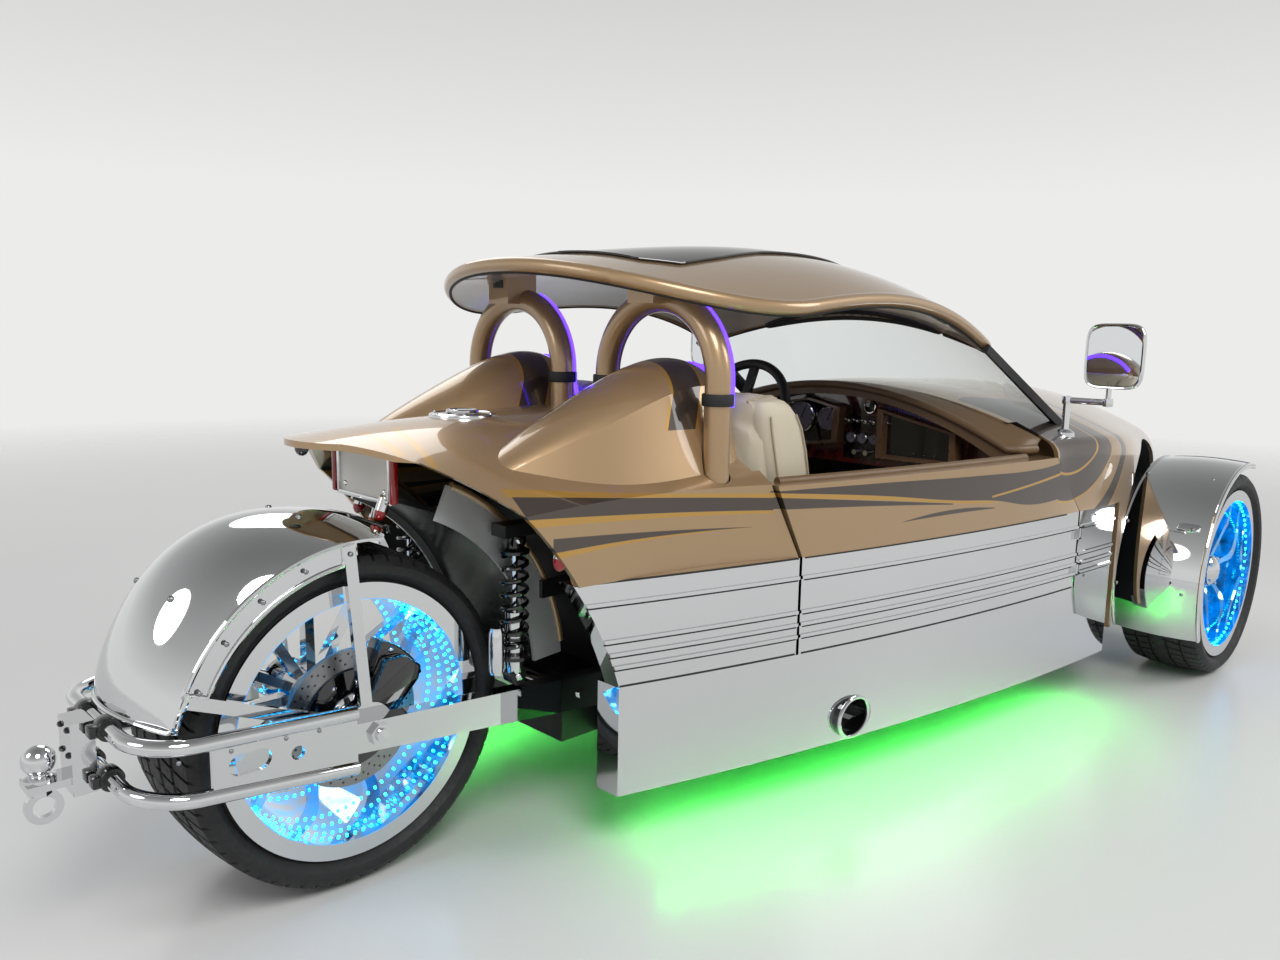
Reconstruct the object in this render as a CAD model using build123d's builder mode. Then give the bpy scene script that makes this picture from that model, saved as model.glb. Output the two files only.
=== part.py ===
from build123d import *
import os
from math import cos, hypot, radians, sin, sqrt

# Motorized trike, side by side, two wheels in front and one behind.
# Millimetres. +X forward, +Y left, +Z up, origin on the floor under the middle of the overall length.
# Stations along the car are written as distances ahead of the rear axle and placed by ahead().

# Gap between pieces that sit on each other, and between bearing pieces
seat_gap = 0.3
running_gap = 0.5

# Fenders over the rear wheel: half widths of the outer and the inner one
fender_half = 160
inner_fender_half = 158

# Wheels and axles
wheelbase = 2540
front_track = 1468
tyre_radius = 314
rear_tyre_width = 285
front_tyre_width = 226
lip_radius = 256
seat_radius = 234
rim_wall = 9
lip_inset = 11
lip_width = 10
hub_radius = 48
axle_radius = 15
spoke_count = 12
disc_thickness = 8
rear_disc_radius = 130
front_disc_radius = 140
steer_offset = 134

# Overall ends
ball_reach = 506
nose_reach = 632
overall_length = ball_reach + wheelbase + nose_reach
rear_axle_x = ball_reach - overall_length / 2
front_axle_x = rear_axle_x + wheelbase
kingpin_y = front_track / 2 - steer_offset

# Body levels
skirt_low = 130
sill_top = 350
ribs_top = 560
deck_belt = 715
cowl_belt = 742
deck_top = 850
shell_wall = 12
door_thickness = 60
sill_thickness = 60
panel_thickness = 40
shut_gap = 7
floor_level = 150
floor_thickness = 20

# Body stations
side_rear = 402
side_end = 2060
tail_tip = -50
deck_front = 735
door_rear_low = 822
door_rear_high = 752
door_front_low = 1846
door_front_high = 1712
hinge_x = 1862
dash_x = 1700
hinge_inset = 6
hinge_pin = 4
rear_wall_x = 560
bulkhead_x = 690

# Front wheel arches
arch_radius = 420
arch_height = 280
well_inner = 428
well_wall = 8

# Hoops and humps
hoop_x = 650
hoop_centre = 240
hoop_radius = 162
hoop_tube = 27
hoop_spring = 925
hoop_foot = 640

# Roof
roof_thickness = 30
roof_glass_thickness = 4

# Swingarm, shocks and hitch
arm_inner = 170
arm_thickness = 34
shock_x = 308
shock_y = arm_inner + 20
shock_spring = 30
arm_end = 42
hitch_tube = 13
hitch_y = 200
ball_radius = 25
ball_height = 340


def ahead(x):
    """Place a distance ahead of the rear axle in the car's own frame."""
    return rear_axle_x + x


def circle_through(a, b, c):
    """Centre and radius of the circle through three plan points."""
    d = 2 * (a[0] * (b[1] - c[1]) + b[0] * (c[1] - a[1]) + c[0] * (a[1] - b[1]))
    sa, sb, sc = (p[0] ** 2 + p[1] ** 2 for p in (a, b, c))
    x = (sa * (b[1] - c[1]) + sb * (c[1] - a[1]) + sc * (a[1] - b[1])) / d
    y = (sa * (c[0] - b[0]) + sb * (a[0] - c[0]) + sc * (b[0] - a[0])) / d
    return x, y, hypot(a[0] - x, a[1] - y)


# The body side is one arc in plan: half widths at the rear end, the middle and the front end
side_arc = circle_through((side_rear, 392), (1143, 561), (side_end, 660))


def side_y(x):
    """Half width of the body side at a station."""
    cx, cy, r = side_arc
    return cy + sqrt(r ** 2 - (x - cx) ** 2)


os.makedirs("parts", exist_ok=True)


def write(builder, name):
    """Label a finished piece and write its STEP file."""
    builder.part.label = name
    export_step(builder.part, f"parts/{name}.step")


def crown(x, half, low, belt, top, soft=0.0):
    """Body section across the car: upright sides and one arc over the top."""
    with BuildSketch(Plane.YZ.offset(ahead(x))) as section:
        with BuildLine():
            ThreePointArc((-half, belt), (0, top), (half, belt))
            Polyline((half, belt), (half, low), (-half, low), (-half, belt))
        make_face()
        if soft:
            fillet(section.vertices().sort_by(Axis.Y)[-2:], soft)
    return section.sketch


def vault(x, half, edge, top, thickness):
    """Roof section across the car: an arched strip."""
    with BuildSketch(Plane.YZ.offset(ahead(x))) as section:
        with BuildLine():
            ThreePointArc((-half, edge), (0, top), (half, edge))
            Line((half, edge), (half, edge - thickness))
            ThreePointArc((half, edge - thickness), (0, top - thickness), (-half, edge - thickness))
            Line((-half, edge - thickness), (-half, edge))
        make_face()
    return section.sketch


def side_strip(side, level, x0, x1, outer, inner):
    """Plan strip along the body side, between two insets from its outer face."""
    xm = (x0 + x1) / 2
    with BuildSketch(Plane.XY.offset(level)) as strip:
        with BuildLine():
            ThreePointArc(*[(ahead(x), side * (side_y(x) - outer)) for x in (x0, xm, x1)])
            Line((ahead(x1), side * (side_y(x1) - outer)), (ahead(x1), side * (side_y(x1) - inner)))
            ThreePointArc(*[(ahead(x), side * (side_y(x) - inner)) for x in (x1, xm, x0)])
            Line((ahead(x0), side * (side_y(x0) - inner)), (ahead(x0), side * (side_y(x0) - outer)))
        make_face()
    return strip.sketch


def plan_between(level, x0, x1, inset):
    """Plan face between both body sides, held in by an inset."""
    xm = (x0 + x1) / 2
    with BuildSketch(Plane.XY.offset(level)) as face:
        with BuildLine():
            ThreePointArc(*[(ahead(x), side_y(x) - inset) for x in (x0, xm, x1)])
            Line((ahead(x1), side_y(x1) - inset), (ahead(x1), inset - side_y(x1)))
            ThreePointArc(*[(ahead(x), inset - side_y(x)) for x in (x1, xm, x0)])
            Line((ahead(x0), inset - side_y(x0)), (ahead(x0), side_y(x0) - inset))
        make_face()
    return face.sketch


def side_profile(y, points):
    """Face in a lengthwise upright plane, from stations and heights."""
    with BuildSketch(Plane.XZ.offset(-y)) as face:
        with BuildLine():
            Polyline(*[(ahead(x), z) for x, z in points], close=True)
        make_face()
    return face.sketch


def radial_plane(x, y, angle=90):
    """Plane through a wheel's centre: local x along its axle, local y outward at the angle."""
    tilt = radians(angle)
    return Plane(origin=(x, y, tyre_radius), x_dir=(0, 1, 0), z_dir=(sin(tilt), 0, -cos(tilt)))


def wheel_axis(x, y, turn=1):
    """Axle line of a wheel."""
    return Axis((x, y, tyre_radius), (0, turn, 0))


# The rear shut faces of the doors lean in plan so that the door swings past them at a constant gap
hinge_y = side_y(hinge_x)
shut_lean = (hinge_y - side_y(door_rear_low) + door_thickness / 2) / (hinge_x - door_rear_low)


def door_tool(side, grow):
    """Solid that covers a door and a gap round it, sheared along the shut faces."""
    def at_hinge(x):
        return x - shut_lean * (hinge_y - side_y(x))

    outline = (
        (at_hinge(door_rear_low - grow), sill_top - 2 * grow),
        (at_hinge(door_rear_low - grow), ribs_top),
        (at_hinge(door_rear_high - grow), deck_belt),
        (at_hinge(door_rear_high - grow), deck_belt + 80),
        (at_hinge(door_front_high + grow), deck_belt + 80),
        (at_hinge(door_front_high + grow), deck_belt),
        (at_hinge(door_front_low + grow), ribs_top),
        (at_hinge(door_front_low + grow), sill_top - 2 * grow),
    )
    reach = 20
    depth = 260
    face = side_profile(side * (hinge_y + reach), outline)
    with BuildPart() as tool:
        extrude(face, amount=depth, dir=(shut_lean, -side, 0))
    return tool.part.moved(Location((-shut_lean * reach, 0, 0)))


door_tools = {side: door_tool(side, 0) for side in (-1, 1)}
door_openings = {side: door_tool(side, shut_gap) for side in (-1, 1)}

# Body sections: station, half width, lower edge, belt height, top height
deck_sections = (
    (tail_tip - 10, 392, ribs_top, 682, 817),
    (side_rear, side_y(side_rear), ribs_top, deck_belt, deck_top),
    (deck_front + 105, side_y(deck_front + 105), ribs_top, deck_belt, deck_top),
)
nose_low = 190
nose_sections = (
    (dash_x, side_y(dash_x), nose_low, cowl_belt, 878, 45),
    (1880, side_y(1880), nose_low, cowl_belt, 884, 50),
    (side_end, side_y(side_end), nose_low, 736, 880, 60),
    (wheelbase, 562, nose_low, 708, 862, 90),
    (wheelbase + 310, 488, nose_low, 672, 806, 110),
    (wheelbase + 500, 404, nose_low, 590, 728, 120),
    (wheelbase + nose_reach, 262, nose_low + 30, 440, 560, 90),
)

# Space under the deck and inside the nose, for pieces that end on the shells
with BuildPart() as deck_space:
    loft([crown(x, half - shell_wall, low - 440, belt, top - shell_wall)
          for x, half, low, belt, top in deck_sections])

with BuildPart() as nose_space:
    loft([crown(x, half - shell_wall, low - 20, belt, top - shell_wall, soft)
          for x, half, low, belt, top, soft in nose_sections])

# Plan outline of the tail: a rounded point that widens to the body side
tail_point = 95
tail_corner = (170, 372)
with BuildPart() as tail_outline:
    with BuildSketch(Plane.XY.offset(skirt_low)):
        with BuildLine():
            ThreePointArc((ahead(0), -tail_point), (ahead(tail_tip), 0), (ahead(0), tail_point))
            Polyline((ahead(0), tail_point), (ahead(tail_corner[0]), tail_corner[1]),
                     (ahead(side_rear), 700), (ahead(1000), 700), (ahead(1000), -700),
                     (ahead(side_rear), -700), (ahead(tail_corner[0]), -tail_corner[1]),
                     (ahead(0), -tail_point))
        make_face()
    extrude(amount=1000)

# Side cut that leaves the rear wheel open: one arc from the tail's edge to the sill
with BuildPart() as rear_arch:
    with BuildSketch(Plane.XZ.offset(-700)):
        with BuildLine():
            ThreePointArc((ahead(82), 789), (ahead(260), 628), (ahead(side_rear), sill_top))
            Polyline((ahead(side_rear), sill_top), (ahead(side_rear), 0), (ahead(-300), 0),
                     (ahead(-300), 789), (ahead(82), 789))
        make_face()
    extrude(amount=1400)

# Cockpit opening in the deck, leaving a coaming along each side
coaming = 52
with BuildPart() as cockpit_cut:
    extrude(plan_between(ribs_top - 100, deck_front, deck_front + 200, coaming), amount=600)

# Headrest fairings on the deck: station, half width at the foot and height above the deck
fairing_rows = ((215, 60, -70), (330, 112, -6), (450, 146, 50), (563, 164, 96), (676, 172, 116), (735, 166, 98))
fairing_base = deck_top - 150
fairing_shoulder = 0.62


def fairing_section(side, x, half, rise):
    """Section of a headrest fairing: slanted sides and an arched top."""
    middle = side * hoop_centre
    top = deck_top + rise
    shoulder = fairing_shoulder * half
    shoulder_z = top - shoulder / 2
    with BuildSketch(Plane.YZ.offset(ahead(x))) as arch:
        with BuildLine():
            Polyline((middle - shoulder, shoulder_z), (middle - half, fairing_base),
                     (middle + half, fairing_base), (middle + shoulder, shoulder_z))
            ThreePointArc((middle + shoulder, shoulder_z), (middle, top), (middle - shoulder, shoulder_z))
        make_face()
    return arch.sketch


with BuildPart() as rear_deck:
    loft([crown(*row) for row in deck_sections])
    for side in (-1, 1):
        loft([fairing_section(side, *row) for row in fairing_rows])
    add(deck_space.part, mode=Mode.SUBTRACT)
    add(tail_outline.part, mode=Mode.INTERSECT)
    add(rear_arch.part, mode=Mode.SUBTRACT)
    add(cockpit_cut.part, mode=Mode.SUBTRACT)
    for side in (-1, 1):
        add(door_openings[side], mode=Mode.SUBTRACT)
    # Openings for the feet of the roll hoops
    with BuildSketch(Plane.XY.offset(600)):
        for y in (hoop_centre - hoop_radius, hoop_centre + hoop_radius):
            for side in (-1, 1):
                with Locations((ahead(hoop_x), side * y)):
                    Circle(hoop_tube + 3)
    extrude(amount=400, mode=Mode.SUBTRACT)
write(rear_deck, "rear_deck")

# Walls of the tub across the car: station and thickness, ended under the deck
firewall_x = side_end
with BuildPart() as bulkheads:
    for x, thick in ((bulkhead_x, 15), (rear_wall_x, 12)):
        extrude(crown(x, side_y(x) - sill_thickness - 1, floor_level, deck_top, deck_top + 80), amount=thick)
    with BuildSketch(Plane.XY.offset(hoop_foot - 12)):
        with Locations((ahead((bulkhead_x + rear_wall_x) / 2), 0)):
            Rectangle(bulkhead_x - rear_wall_x, 2 * (hoop_centre + hoop_radius) - 30)
    extrude(amount=12)
    add(deck_space.part, mode=Mode.INTERSECT)

# Tub: floor, bulkheads, firewall, rear housing and the brackets over the shocks
with BuildPart() as tub:
    extrude(plan_between(floor_level, rear_wall_x, firewall_x, sill_thickness), amount=floor_thickness)
    add(bulkheads.part)
    with BuildSketch(Plane.YZ.offset(ahead(firewall_x - 12))):
        with Locations((0, (floor_level + 720) / 2)):
            Rectangle(2 * (side_y(firewall_x - 12) - sill_thickness - 1), 720 - floor_level)
    extrude(amount=12)
    with BuildSketch(Plane.XY.offset(floor_level)):
        with Locations((ahead(rear_wall_x - 50), 0)):
            Rectangle(100, 2 * arm_inner - 30)
    extrude(amount=150)
    for side in (-1, 1):
        with BuildSketch(Plane.XY.offset(628)):
            with Locations((ahead((rear_wall_x + shock_x - 38) / 2), side * shock_y)):
                Rectangle(rear_wall_x - shock_x + 38, 46)
        extrude(amount=24)
        # Bracket that holds the inner fender by its flank
        with BuildSketch(Plane.XZ.offset(-side * (inner_fender_half + seat_gap))):
            with Locations((ahead((rear_wall_x + 395) / 2), 498)):
                Rectangle(rear_wall_x - 395, 36)
        extrude(amount=-side * 10)
write(tub, "tub")

# Sills: the deep bright skirt along each side, with the return at its rear end
exhaust_x = 985
exhaust_z = 180
exhaust_radius = 46
exhaust_depth = 40
with BuildPart() as sills:
    for side in (-1, 1):
        extrude(side_strip(side, skirt_low, side_rear, side_end, 0, sill_thickness),
                amount=sill_top - skirt_low)
    with BuildSketch(Plane.XZ):
        with Locations((ahead(exhaust_x), exhaust_z)):
            Ellipse(exhaust_radius + 12, exhaust_radius)
    extrude(amount=900, both=True, mode=Mode.SUBTRACT)
write(sills, "sills")

# Outlets in the sills: an oval ring and a dark throat on each side
with BuildPart() as exhaust_outlets:
    for side in (-1, 1):
        throat_y = side * (side_y(exhaust_x) - exhaust_depth)
        with BuildSketch(Plane.XZ.offset(-throat_y)):
            with Locations((ahead(exhaust_x), exhaust_z)):
                Ellipse(exhaust_radius + 11.5, exhaust_radius - 0.5)
                Ellipse(exhaust_radius + 6, exhaust_radius - 6, mode=Mode.SUBTRACT)
        extrude(amount=-side * (exhaust_depth + 6))
        with BuildSketch(Plane.XZ.offset(-throat_y)):
            with Locations((ahead(exhaust_x), exhaust_z)):
                Ellipse(exhaust_radius + 11.5, exhaust_radius - 0.5)
        extrude(amount=-side * 8)
write(exhaust_outlets, "exhaust_outlets")

# Ribs on the bright panels: heights of their middles
rib_levels = (391, 417, 444, 518)
rib_height = 7
rib_stand = 4
rib_root = 6


def ribbed_panel(side, x0, x1, thickness):
    """Bright side panel with its ribs, from the sill to the painted skin."""
    with BuildPart() as panel:
        extrude(side_strip(side, sill_top, x0, x1, 0, thickness), amount=ribs_top - sill_top)
        for level in rib_levels:
            extrude(side_strip(side, level - rib_height / 2, x0, x1, -rib_stand, rib_root), amount=rib_height)
    return panel.part


# Door hinges: heights, size of the lugs and the play round their pins
hinge_levels = (400, 500)
lug_height = 26
lug_radius = 8
lug_play = 5


def hinge_spot(side):
    """Plan place of a door's hinge line."""
    return ahead(hinge_x), side * (hinge_y - hinge_inset)


with BuildPart() as side_panels:
    for side in (-1, 1):
        add(ribbed_panel(side, 300, door_rear_low + 40, panel_thickness))
        add(ribbed_panel(side, door_front_low - 40, side_end, panel_thickness))
        add(door_openings[side], mode=Mode.SUBTRACT)
        for level in hinge_levels:
            pocket = lug_height / 2 + lug_play
            with BuildSketch(Plane.XY.offset(level - pocket)):
                with Locations(hinge_spot(side)):
                    Rectangle(2 * (lug_radius + lug_play), 2 * (lug_radius + lug_play))
            extrude(amount=2 * pocket, mode=Mode.SUBTRACT)
            with BuildSketch(Plane.XY.offset(level - pocket)):
                with Locations(hinge_spot(side)):
                    Circle(hinge_pin)
            extrude(amount=2 * pocket)
    add(rear_arch.part, mode=Mode.SUBTRACT)
write(side_panels, "side_panels")

# Front subframe: height of its underside, size of its tubes and station of its front end
frame_level = 170
frame_tube = 60
frame_front = wheelbase + 360

# Nose and cowl shell, with the wheel arches cut through and the door openings cut out
with BuildPart() as nose_outer:
    loft([crown(*row) for row in nose_sections])

with BuildPart() as nose:
    add(nose_outer.part)
    add(nose_space.part, mode=Mode.SUBTRACT)
    with BuildSketch(Plane.XZ):
        with Locations((ahead(wheelbase), arch_height)):
            Circle(arch_radius)
    extrude(amount=900, both=True, mode=Mode.SUBTRACT)
    with BuildSketch(Plane.XY.offset(nose_low - 30)):
        Rectangle(2 * ahead(side_end + 40), 2000)
    extrude(amount=ribs_top - nose_low + 30, mode=Mode.SUBTRACT)
    with BuildSketch(Plane.XY.offset(nose_low - 30)):
        with Locations((ahead(wheelbase), 0)):
            Rectangle(2 * arch_radius, 2000)
    extrude(amount=arch_height - nose_low + 30, mode=Mode.SUBTRACT)
    for side in (-1, 1):
        add(door_openings[side], mode=Mode.SUBTRACT)
write(nose, "nose")

# Wheel wells: inner wall and arched roof over each front wheel, ended on the shell
well_low = 232
with BuildPart() as wheel_wells:
    for side in (-1, 1):
        with BuildSketch(Plane.XZ.offset(-side * (well_inner - well_wall))):
            with Locations((ahead(wheelbase), arch_height)):
                Circle(arch_radius + well_wall)
        extrude(amount=-side * well_wall)
        with BuildSketch(Plane.XZ.offset(-side * well_inner)):
            with Locations((ahead(wheelbase), arch_height)):
                Circle(arch_radius + well_wall)
                Circle(arch_radius, mode=Mode.SUBTRACT)
        extrude(amount=-side * 260)
    # Open below, with a window for each upper wishbone
    with BuildSketch(Plane.XZ):
        with Locations((ahead(wheelbase), well_low - 300)):
            Rectangle(2 * arch_radius + 60, 600)
        with Locations((ahead(wheelbase), frame_level + 265)):
            Rectangle(320, 60)
    extrude(amount=900, both=True, mode=Mode.SUBTRACT)
    add(nose_space.part, mode=Mode.INTERSECT)
write(wheel_wells, "wheel_wells")

# Grille in the mouth of the nose: a rim along the opening with upright bars
grille_rim = 18
grille_bar = 7
grille_pitch = 34
grille_depth = 14
mouth = nose_sections[-1]
with BuildPart() as grille:
    extrude(crown(mouth[0], mouth[1] - shell_wall, mouth[2], mouth[3], mouth[4] - shell_wall, mouth[5]),
            amount=-grille_depth)
    extrude(crown(mouth[0], mouth[1] - shell_wall - grille_rim, mouth[2] + grille_rim, mouth[3],
                  mouth[4] - shell_wall - grille_rim, mouth[5] - 10), amount=-grille_depth, mode=Mode.SUBTRACT)
    with BuildSketch(Plane.YZ.offset(ahead(mouth[0]))):
        for i in range(-6, 7):
            with Locations((i * grille_pitch, (mouth[2] + mouth[4]) / 2)):
                Rectangle(grille_bar, mouth[4] - mouth[2])
    extrude(amount=-grille_depth)
    add(nose_space.part, mode=Mode.INTERSECT)
write(grille, "grille")

# Engine: one plain block on the subframe
engine_x0 = wheelbase - 310
engine_length = 560
with BuildPart() as engine:
    with BuildSketch(Plane.XY.offset(frame_level + frame_tube)):
        with Locations((ahead(engine_x0 + engine_length / 2), 0)):
            Rectangle(engine_length, 520)
    extrude(amount=400)
write(engine, "engine")

# Front subframe and wishbones, out to the kingpins
arm_reach = kingpin_y + 24
with BuildPart() as front_arms:
    for side in (-1, 1):
        with BuildSketch(Plane.XY.offset(frame_level)):
            with Locations((ahead((firewall_x + frame_front) / 2), side * 230)):
                Rectangle(frame_front - firewall_x, frame_tube)
        extrude(amount=frame_tube)
        # Wishbones: height of the bottom face, half spread at the subframe, inner end
        for level, spread, inner in ((frame_level + 15, 190, 200), (frame_level + 250, 130, 262)):
            with BuildSketch(Plane.XY.offset(level)):
                for fore in (-1, 1):
                    with BuildLine():
                        Polyline((ahead(wheelbase + fore * spread), side * inner),
                                 (ahead(wheelbase + fore * (spread - 40)), side * inner),
                                 (ahead(wheelbase - fore * 24), side * arm_reach),
                                 (ahead(wheelbase + fore * 24), side * arm_reach), close=True)
                    make_face()
            extrude(amount=30)
    for x in (firewall_x + frame_tube, frame_front - 40):
        with BuildSketch(Plane.XY.offset(frame_level)):
            with Locations((ahead(x), 0)):
                Rectangle(frame_tube, 460)
        extrude(amount=frame_tube)
    # Towers that carry the upper wishbones
    for side in (-1, 1):
        with BuildSketch(Plane.XY.offset(frame_level)):
            with Locations((ahead(wheelbase), side * 276)):
                Rectangle(300, 30)
        extrude(amount=290)
write(front_arms, "front_arms")


def wheel_face(x, y, points):
    """Wheel section from points given as distance from the middle plane and radius."""
    with BuildSketch(radial_plane(x, y)) as face:
        with BuildLine():
            Polyline(*points, close=True)
        make_face()
    return face.sketch


def tyre(x, y, width):
    """Low tyre: upright beads, bulged sidewalls, rounded shoulders and a crowned tread."""
    half = width / 2
    bead = half - lip_inset - lip_width
    with BuildPart() as body:
        with BuildSketch(radial_plane(x, y)):
            with BuildLine():
                Polyline((-bead, lip_radius + 2), (-bead, seat_radius),
                         (bead, seat_radius), (bead, lip_radius + 2))
                ThreePointArc((bead, lip_radius + 2), (half, tyre_radius - 30), (half - 14, tyre_radius - 9))
                ThreePointArc((half - 14, tyre_radius - 9), (0, tyre_radius), (14 - half, tyre_radius - 9))
                ThreePointArc((14 - half, tyre_radius - 9), (-half, tyre_radius - 30), (-bead, lip_radius + 2))
            make_face()
        revolve(axis=wheel_axis(x, y))
    return body


def rim(x, y, width, face_y, bore):
    """Deep rim: barrel with two lips, hub, and spokes in the plane face_y off the middle."""
    half = width / 2
    bead = half - lip_inset - lip_width
    inner = seat_radius - rim_wall
    with BuildPart() as body:
        revolve(wheel_face(x, y, (
            (-bead - lip_width, lip_radius), (-bead, lip_radius), (-bead, seat_radius), (bead, seat_radius),
            (bead, lip_radius), (bead + lip_width, lip_radius), (bead + lip_width, inner),
            (-bead - lip_width, inner))), axis=wheel_axis(x, y))
        revolve(wheel_face(x, y, (
            (face_y - 30, bore), (face_y - 30, hub_radius), (face_y + 30, hub_radius), (face_y + 30, bore))),
            axis=wheel_axis(x, y))
        for i in range(spoke_count):
            with BuildSketch(radial_plane(x, y, 360 / spoke_count * i)):
                with BuildLine():
                    Polyline((face_y - 14, hub_radius - 8), (face_y + 14, hub_radius - 8),
                             (face_y + 9, inner + 3), (face_y - 9, inner + 3), close=True)
                make_face()
            extrude(amount=9, both=True)
    return body


def disc(x, y, radius, bore, plane_y, hat_y):
    """Brake disc with a hat that reaches from its plane to the hub."""
    low = min(plane_y, hat_y)
    high = max(plane_y + disc_thickness, hat_y)
    with BuildPart() as body:
        revolve(wheel_face(x, y, (
            (plane_y, hub_radius), (plane_y, radius), (plane_y + disc_thickness, radius),
            (plane_y + disc_thickness, hub_radius))), axis=wheel_axis(x, y))
        revolve(wheel_face(x, y, (
            (low, bore), (low, hub_radius + 8), (high, hub_radius + 8), (high, bore))), axis=wheel_axis(x, y))
    return body


# Rear wheel: spokes on the left, disc on the right
rear_face = 62
rear_bore = axle_radius + running_gap
write(tyre(rear_axle_x, 0, rear_tyre_width), "rear_tyre")
write(rim(rear_axle_x, 0, rear_tyre_width, rear_face, rear_bore), "rear_rim")
write(disc(rear_axle_x, 0, rear_disc_radius, rear_bore, -108, rear_face - 30), "rear_disc")

# Front wheels, knuckles and fenders
fender_inner = 331
fender_wall = 7
fender_start = 78
fender_end = 206
stay_angles = (118, 150, 182)
for side, hand in ((-1, "right"), (1, "left")):
    wheel_y = side * front_track / 2
    face_y = side * 20
    write(tyre(front_axle_x, wheel_y, front_tyre_width), f"{hand}_front_tyre")
    write(rim(front_axle_x, wheel_y, front_tyre_width, face_y, 12), f"{hand}_front_rim")
    disc_plane = -side * 84 - disc_thickness / 2
    write(disc(front_axle_x, wheel_y, front_disc_radius, 12, disc_plane, face_y - side * 30),
          f"{hand}_front_disc")
    with BuildPart() as knuckle:
        with BuildSketch(Plane.XY.offset(frame_level + 45 + running_gap)):
            with Locations((front_axle_x, side * kingpin_y)):
                Circle(24)
        extrude(amount=205 - 2 * running_gap)
        with BuildSketch(Plane.XZ.offset(-side * kingpin_y)):
            with Locations((front_axle_x, tyre_radius)):
                Circle(34)
        extrude(amount=-side * (front_track / 2 - 84 - disc_thickness / 2 - running_gap - kingpin_y))
        # Stay that carries the fender: from the kingpin up and over the tyre's inner shoulder
        with BuildSketch(Plane.XZ.offset(-side * (kingpin_y + 2))):
            for angle in stay_angles:
                turn = radians(angle)
                reach = fender_inner - running_gap
                end = (front_axle_x + reach * cos(turn), tyre_radius + reach * sin(turn))
                aside = (9 * sin(turn), -9 * cos(turn))
                with BuildLine():
                    Polyline((front_axle_x + aside[0], tyre_radius + aside[1]),
                             (end[0] + aside[0], end[1] + aside[1]),
                             (end[0] - aside[0], end[1] - aside[1]),
                             (front_axle_x - aside[0], tyre_radius - aside[1]), close=True)
                make_face()
        extrude(amount=-side * 10)
        for angle in stay_angles:
            with BuildSketch(radial_plane(front_axle_x, 0, angle)):
                with Locations((side * (kingpin_y + 22), fender_inner - running_gap - 4)):
                    Rectangle(40, 8)
            extrude(amount=9, both=True)
    write(knuckle, f"{hand}_knuckle")
    fender_low = kingpin_y + 24
    fender_high = front_track / 2 + front_tyre_width / 2 + 10
    with BuildPart() as fender:
        with BuildSketch(radial_plane(front_axle_x, 0, fender_start)):
            mid = side * (fender_low + fender_high) / 2
            crown_rise = 8
            with BuildLine():
                ThreePointArc((side * fender_low, fender_inner), (mid, fender_inner + crown_rise),
                              (side * fender_high, fender_inner))
                Line((side * fender_high, fender_inner), (side * fender_high, fender_inner + fender_wall))
                ThreePointArc((side * fender_high, fender_inner + fender_wall),
                              (mid, fender_inner + fender_wall + crown_rise),
                              (side * fender_low, fender_inner + fender_wall))
                Line((side * fender_low, fender_inner + fender_wall), (side * fender_low, fender_inner))
            make_face()
        revolve(axis=wheel_axis(front_axle_x, 0, -1), revolution_arc=fender_end - fender_start)
    write(fender, f"{hand}_front_fender")

# Doors: painted skin over a ribbed bright panel
for side, hand in ((-1, "right"), (1, "left")):
    with BuildPart() as door_skin:
        extrude(side_strip(side, ribs_top, door_rear_high - 60, door_front_low + 60, 0, door_thickness),
                amount=deck_belt - ribs_top)
        add(door_tools[side], mode=Mode.INTERSECT)
    write(door_skin, f"{hand}_door_skin")
    with BuildPart() as door_panel:
        add(ribbed_panel(side, door_rear_low - 60, door_front_low + 60, door_thickness))
        add(door_tools[side], mode=Mode.INTERSECT)
        for level in hinge_levels:
            with BuildSketch(Plane.XY.offset(level - lug_height / 2)):
                with Locations(hinge_spot(side)):
                    Circle(lug_radius)
                    with Locations((-20, 0)):
                        Rectangle(40, 2 * lug_radius - 2)
                    Circle(hinge_pin + running_gap, mode=Mode.SUBTRACT)
            extrude(amount=lug_height)
    write(door_panel, f"{hand}_door_panel")

# Roof: arched shell ended in plan by an ellipse at the rear and an arc at the front
roof_half = 500
roof_sections = (
    (400, 540, 1030, 1164),
    (700, 540, 1056, 1196),
    (1080, 540, 1087, 1224),
    (1461, 540, 1028, 1183),
    (1720, 540, 893, 1083),
    (1900, 540, 752, 986),
)
roof_rear = 415
roof_sweep = 400
roof_front_centre = 1690
roof_front_side = 1600
over_roof = 260
with BuildPart() as roof_above:
    loft([vault(x, half, edge + over_roof, top + over_roof, over_roof + roof_thickness)
          for x, half, edge, top in roof_sections])

with BuildPart() as roof_outline:
    with BuildSketch(Plane.XY.offset(800)):
        with Locations((ahead(roof_rear + roof_sweep), 0)):
            Ellipse(roof_sweep, roof_half)
        with BuildLine():
            Polyline((ahead(roof_front_side), roof_half - 25), (ahead(roof_rear + roof_sweep), roof_half),
                     (ahead(roof_rear + roof_sweep), -roof_half), (ahead(roof_front_side), 25 - roof_half))
            ThreePointArc((ahead(roof_front_side), 25 - roof_half), (ahead(roof_front_centre), 0),
                          (ahead(roof_front_side), roof_half - 25))
        make_face()
    extrude(amount=600)

with BuildPart() as over_roof_plan:
    add(roof_above.part)
    add(roof_outline.part, mode=Mode.INTERSECT)

with BuildPart() as roof:
    loft([vault(x, half, edge, top, roof_thickness) for x, half, edge, top in roof_sections])
    add(roof_outline.part, mode=Mode.INTERSECT)
write(roof, "roof")

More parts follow.
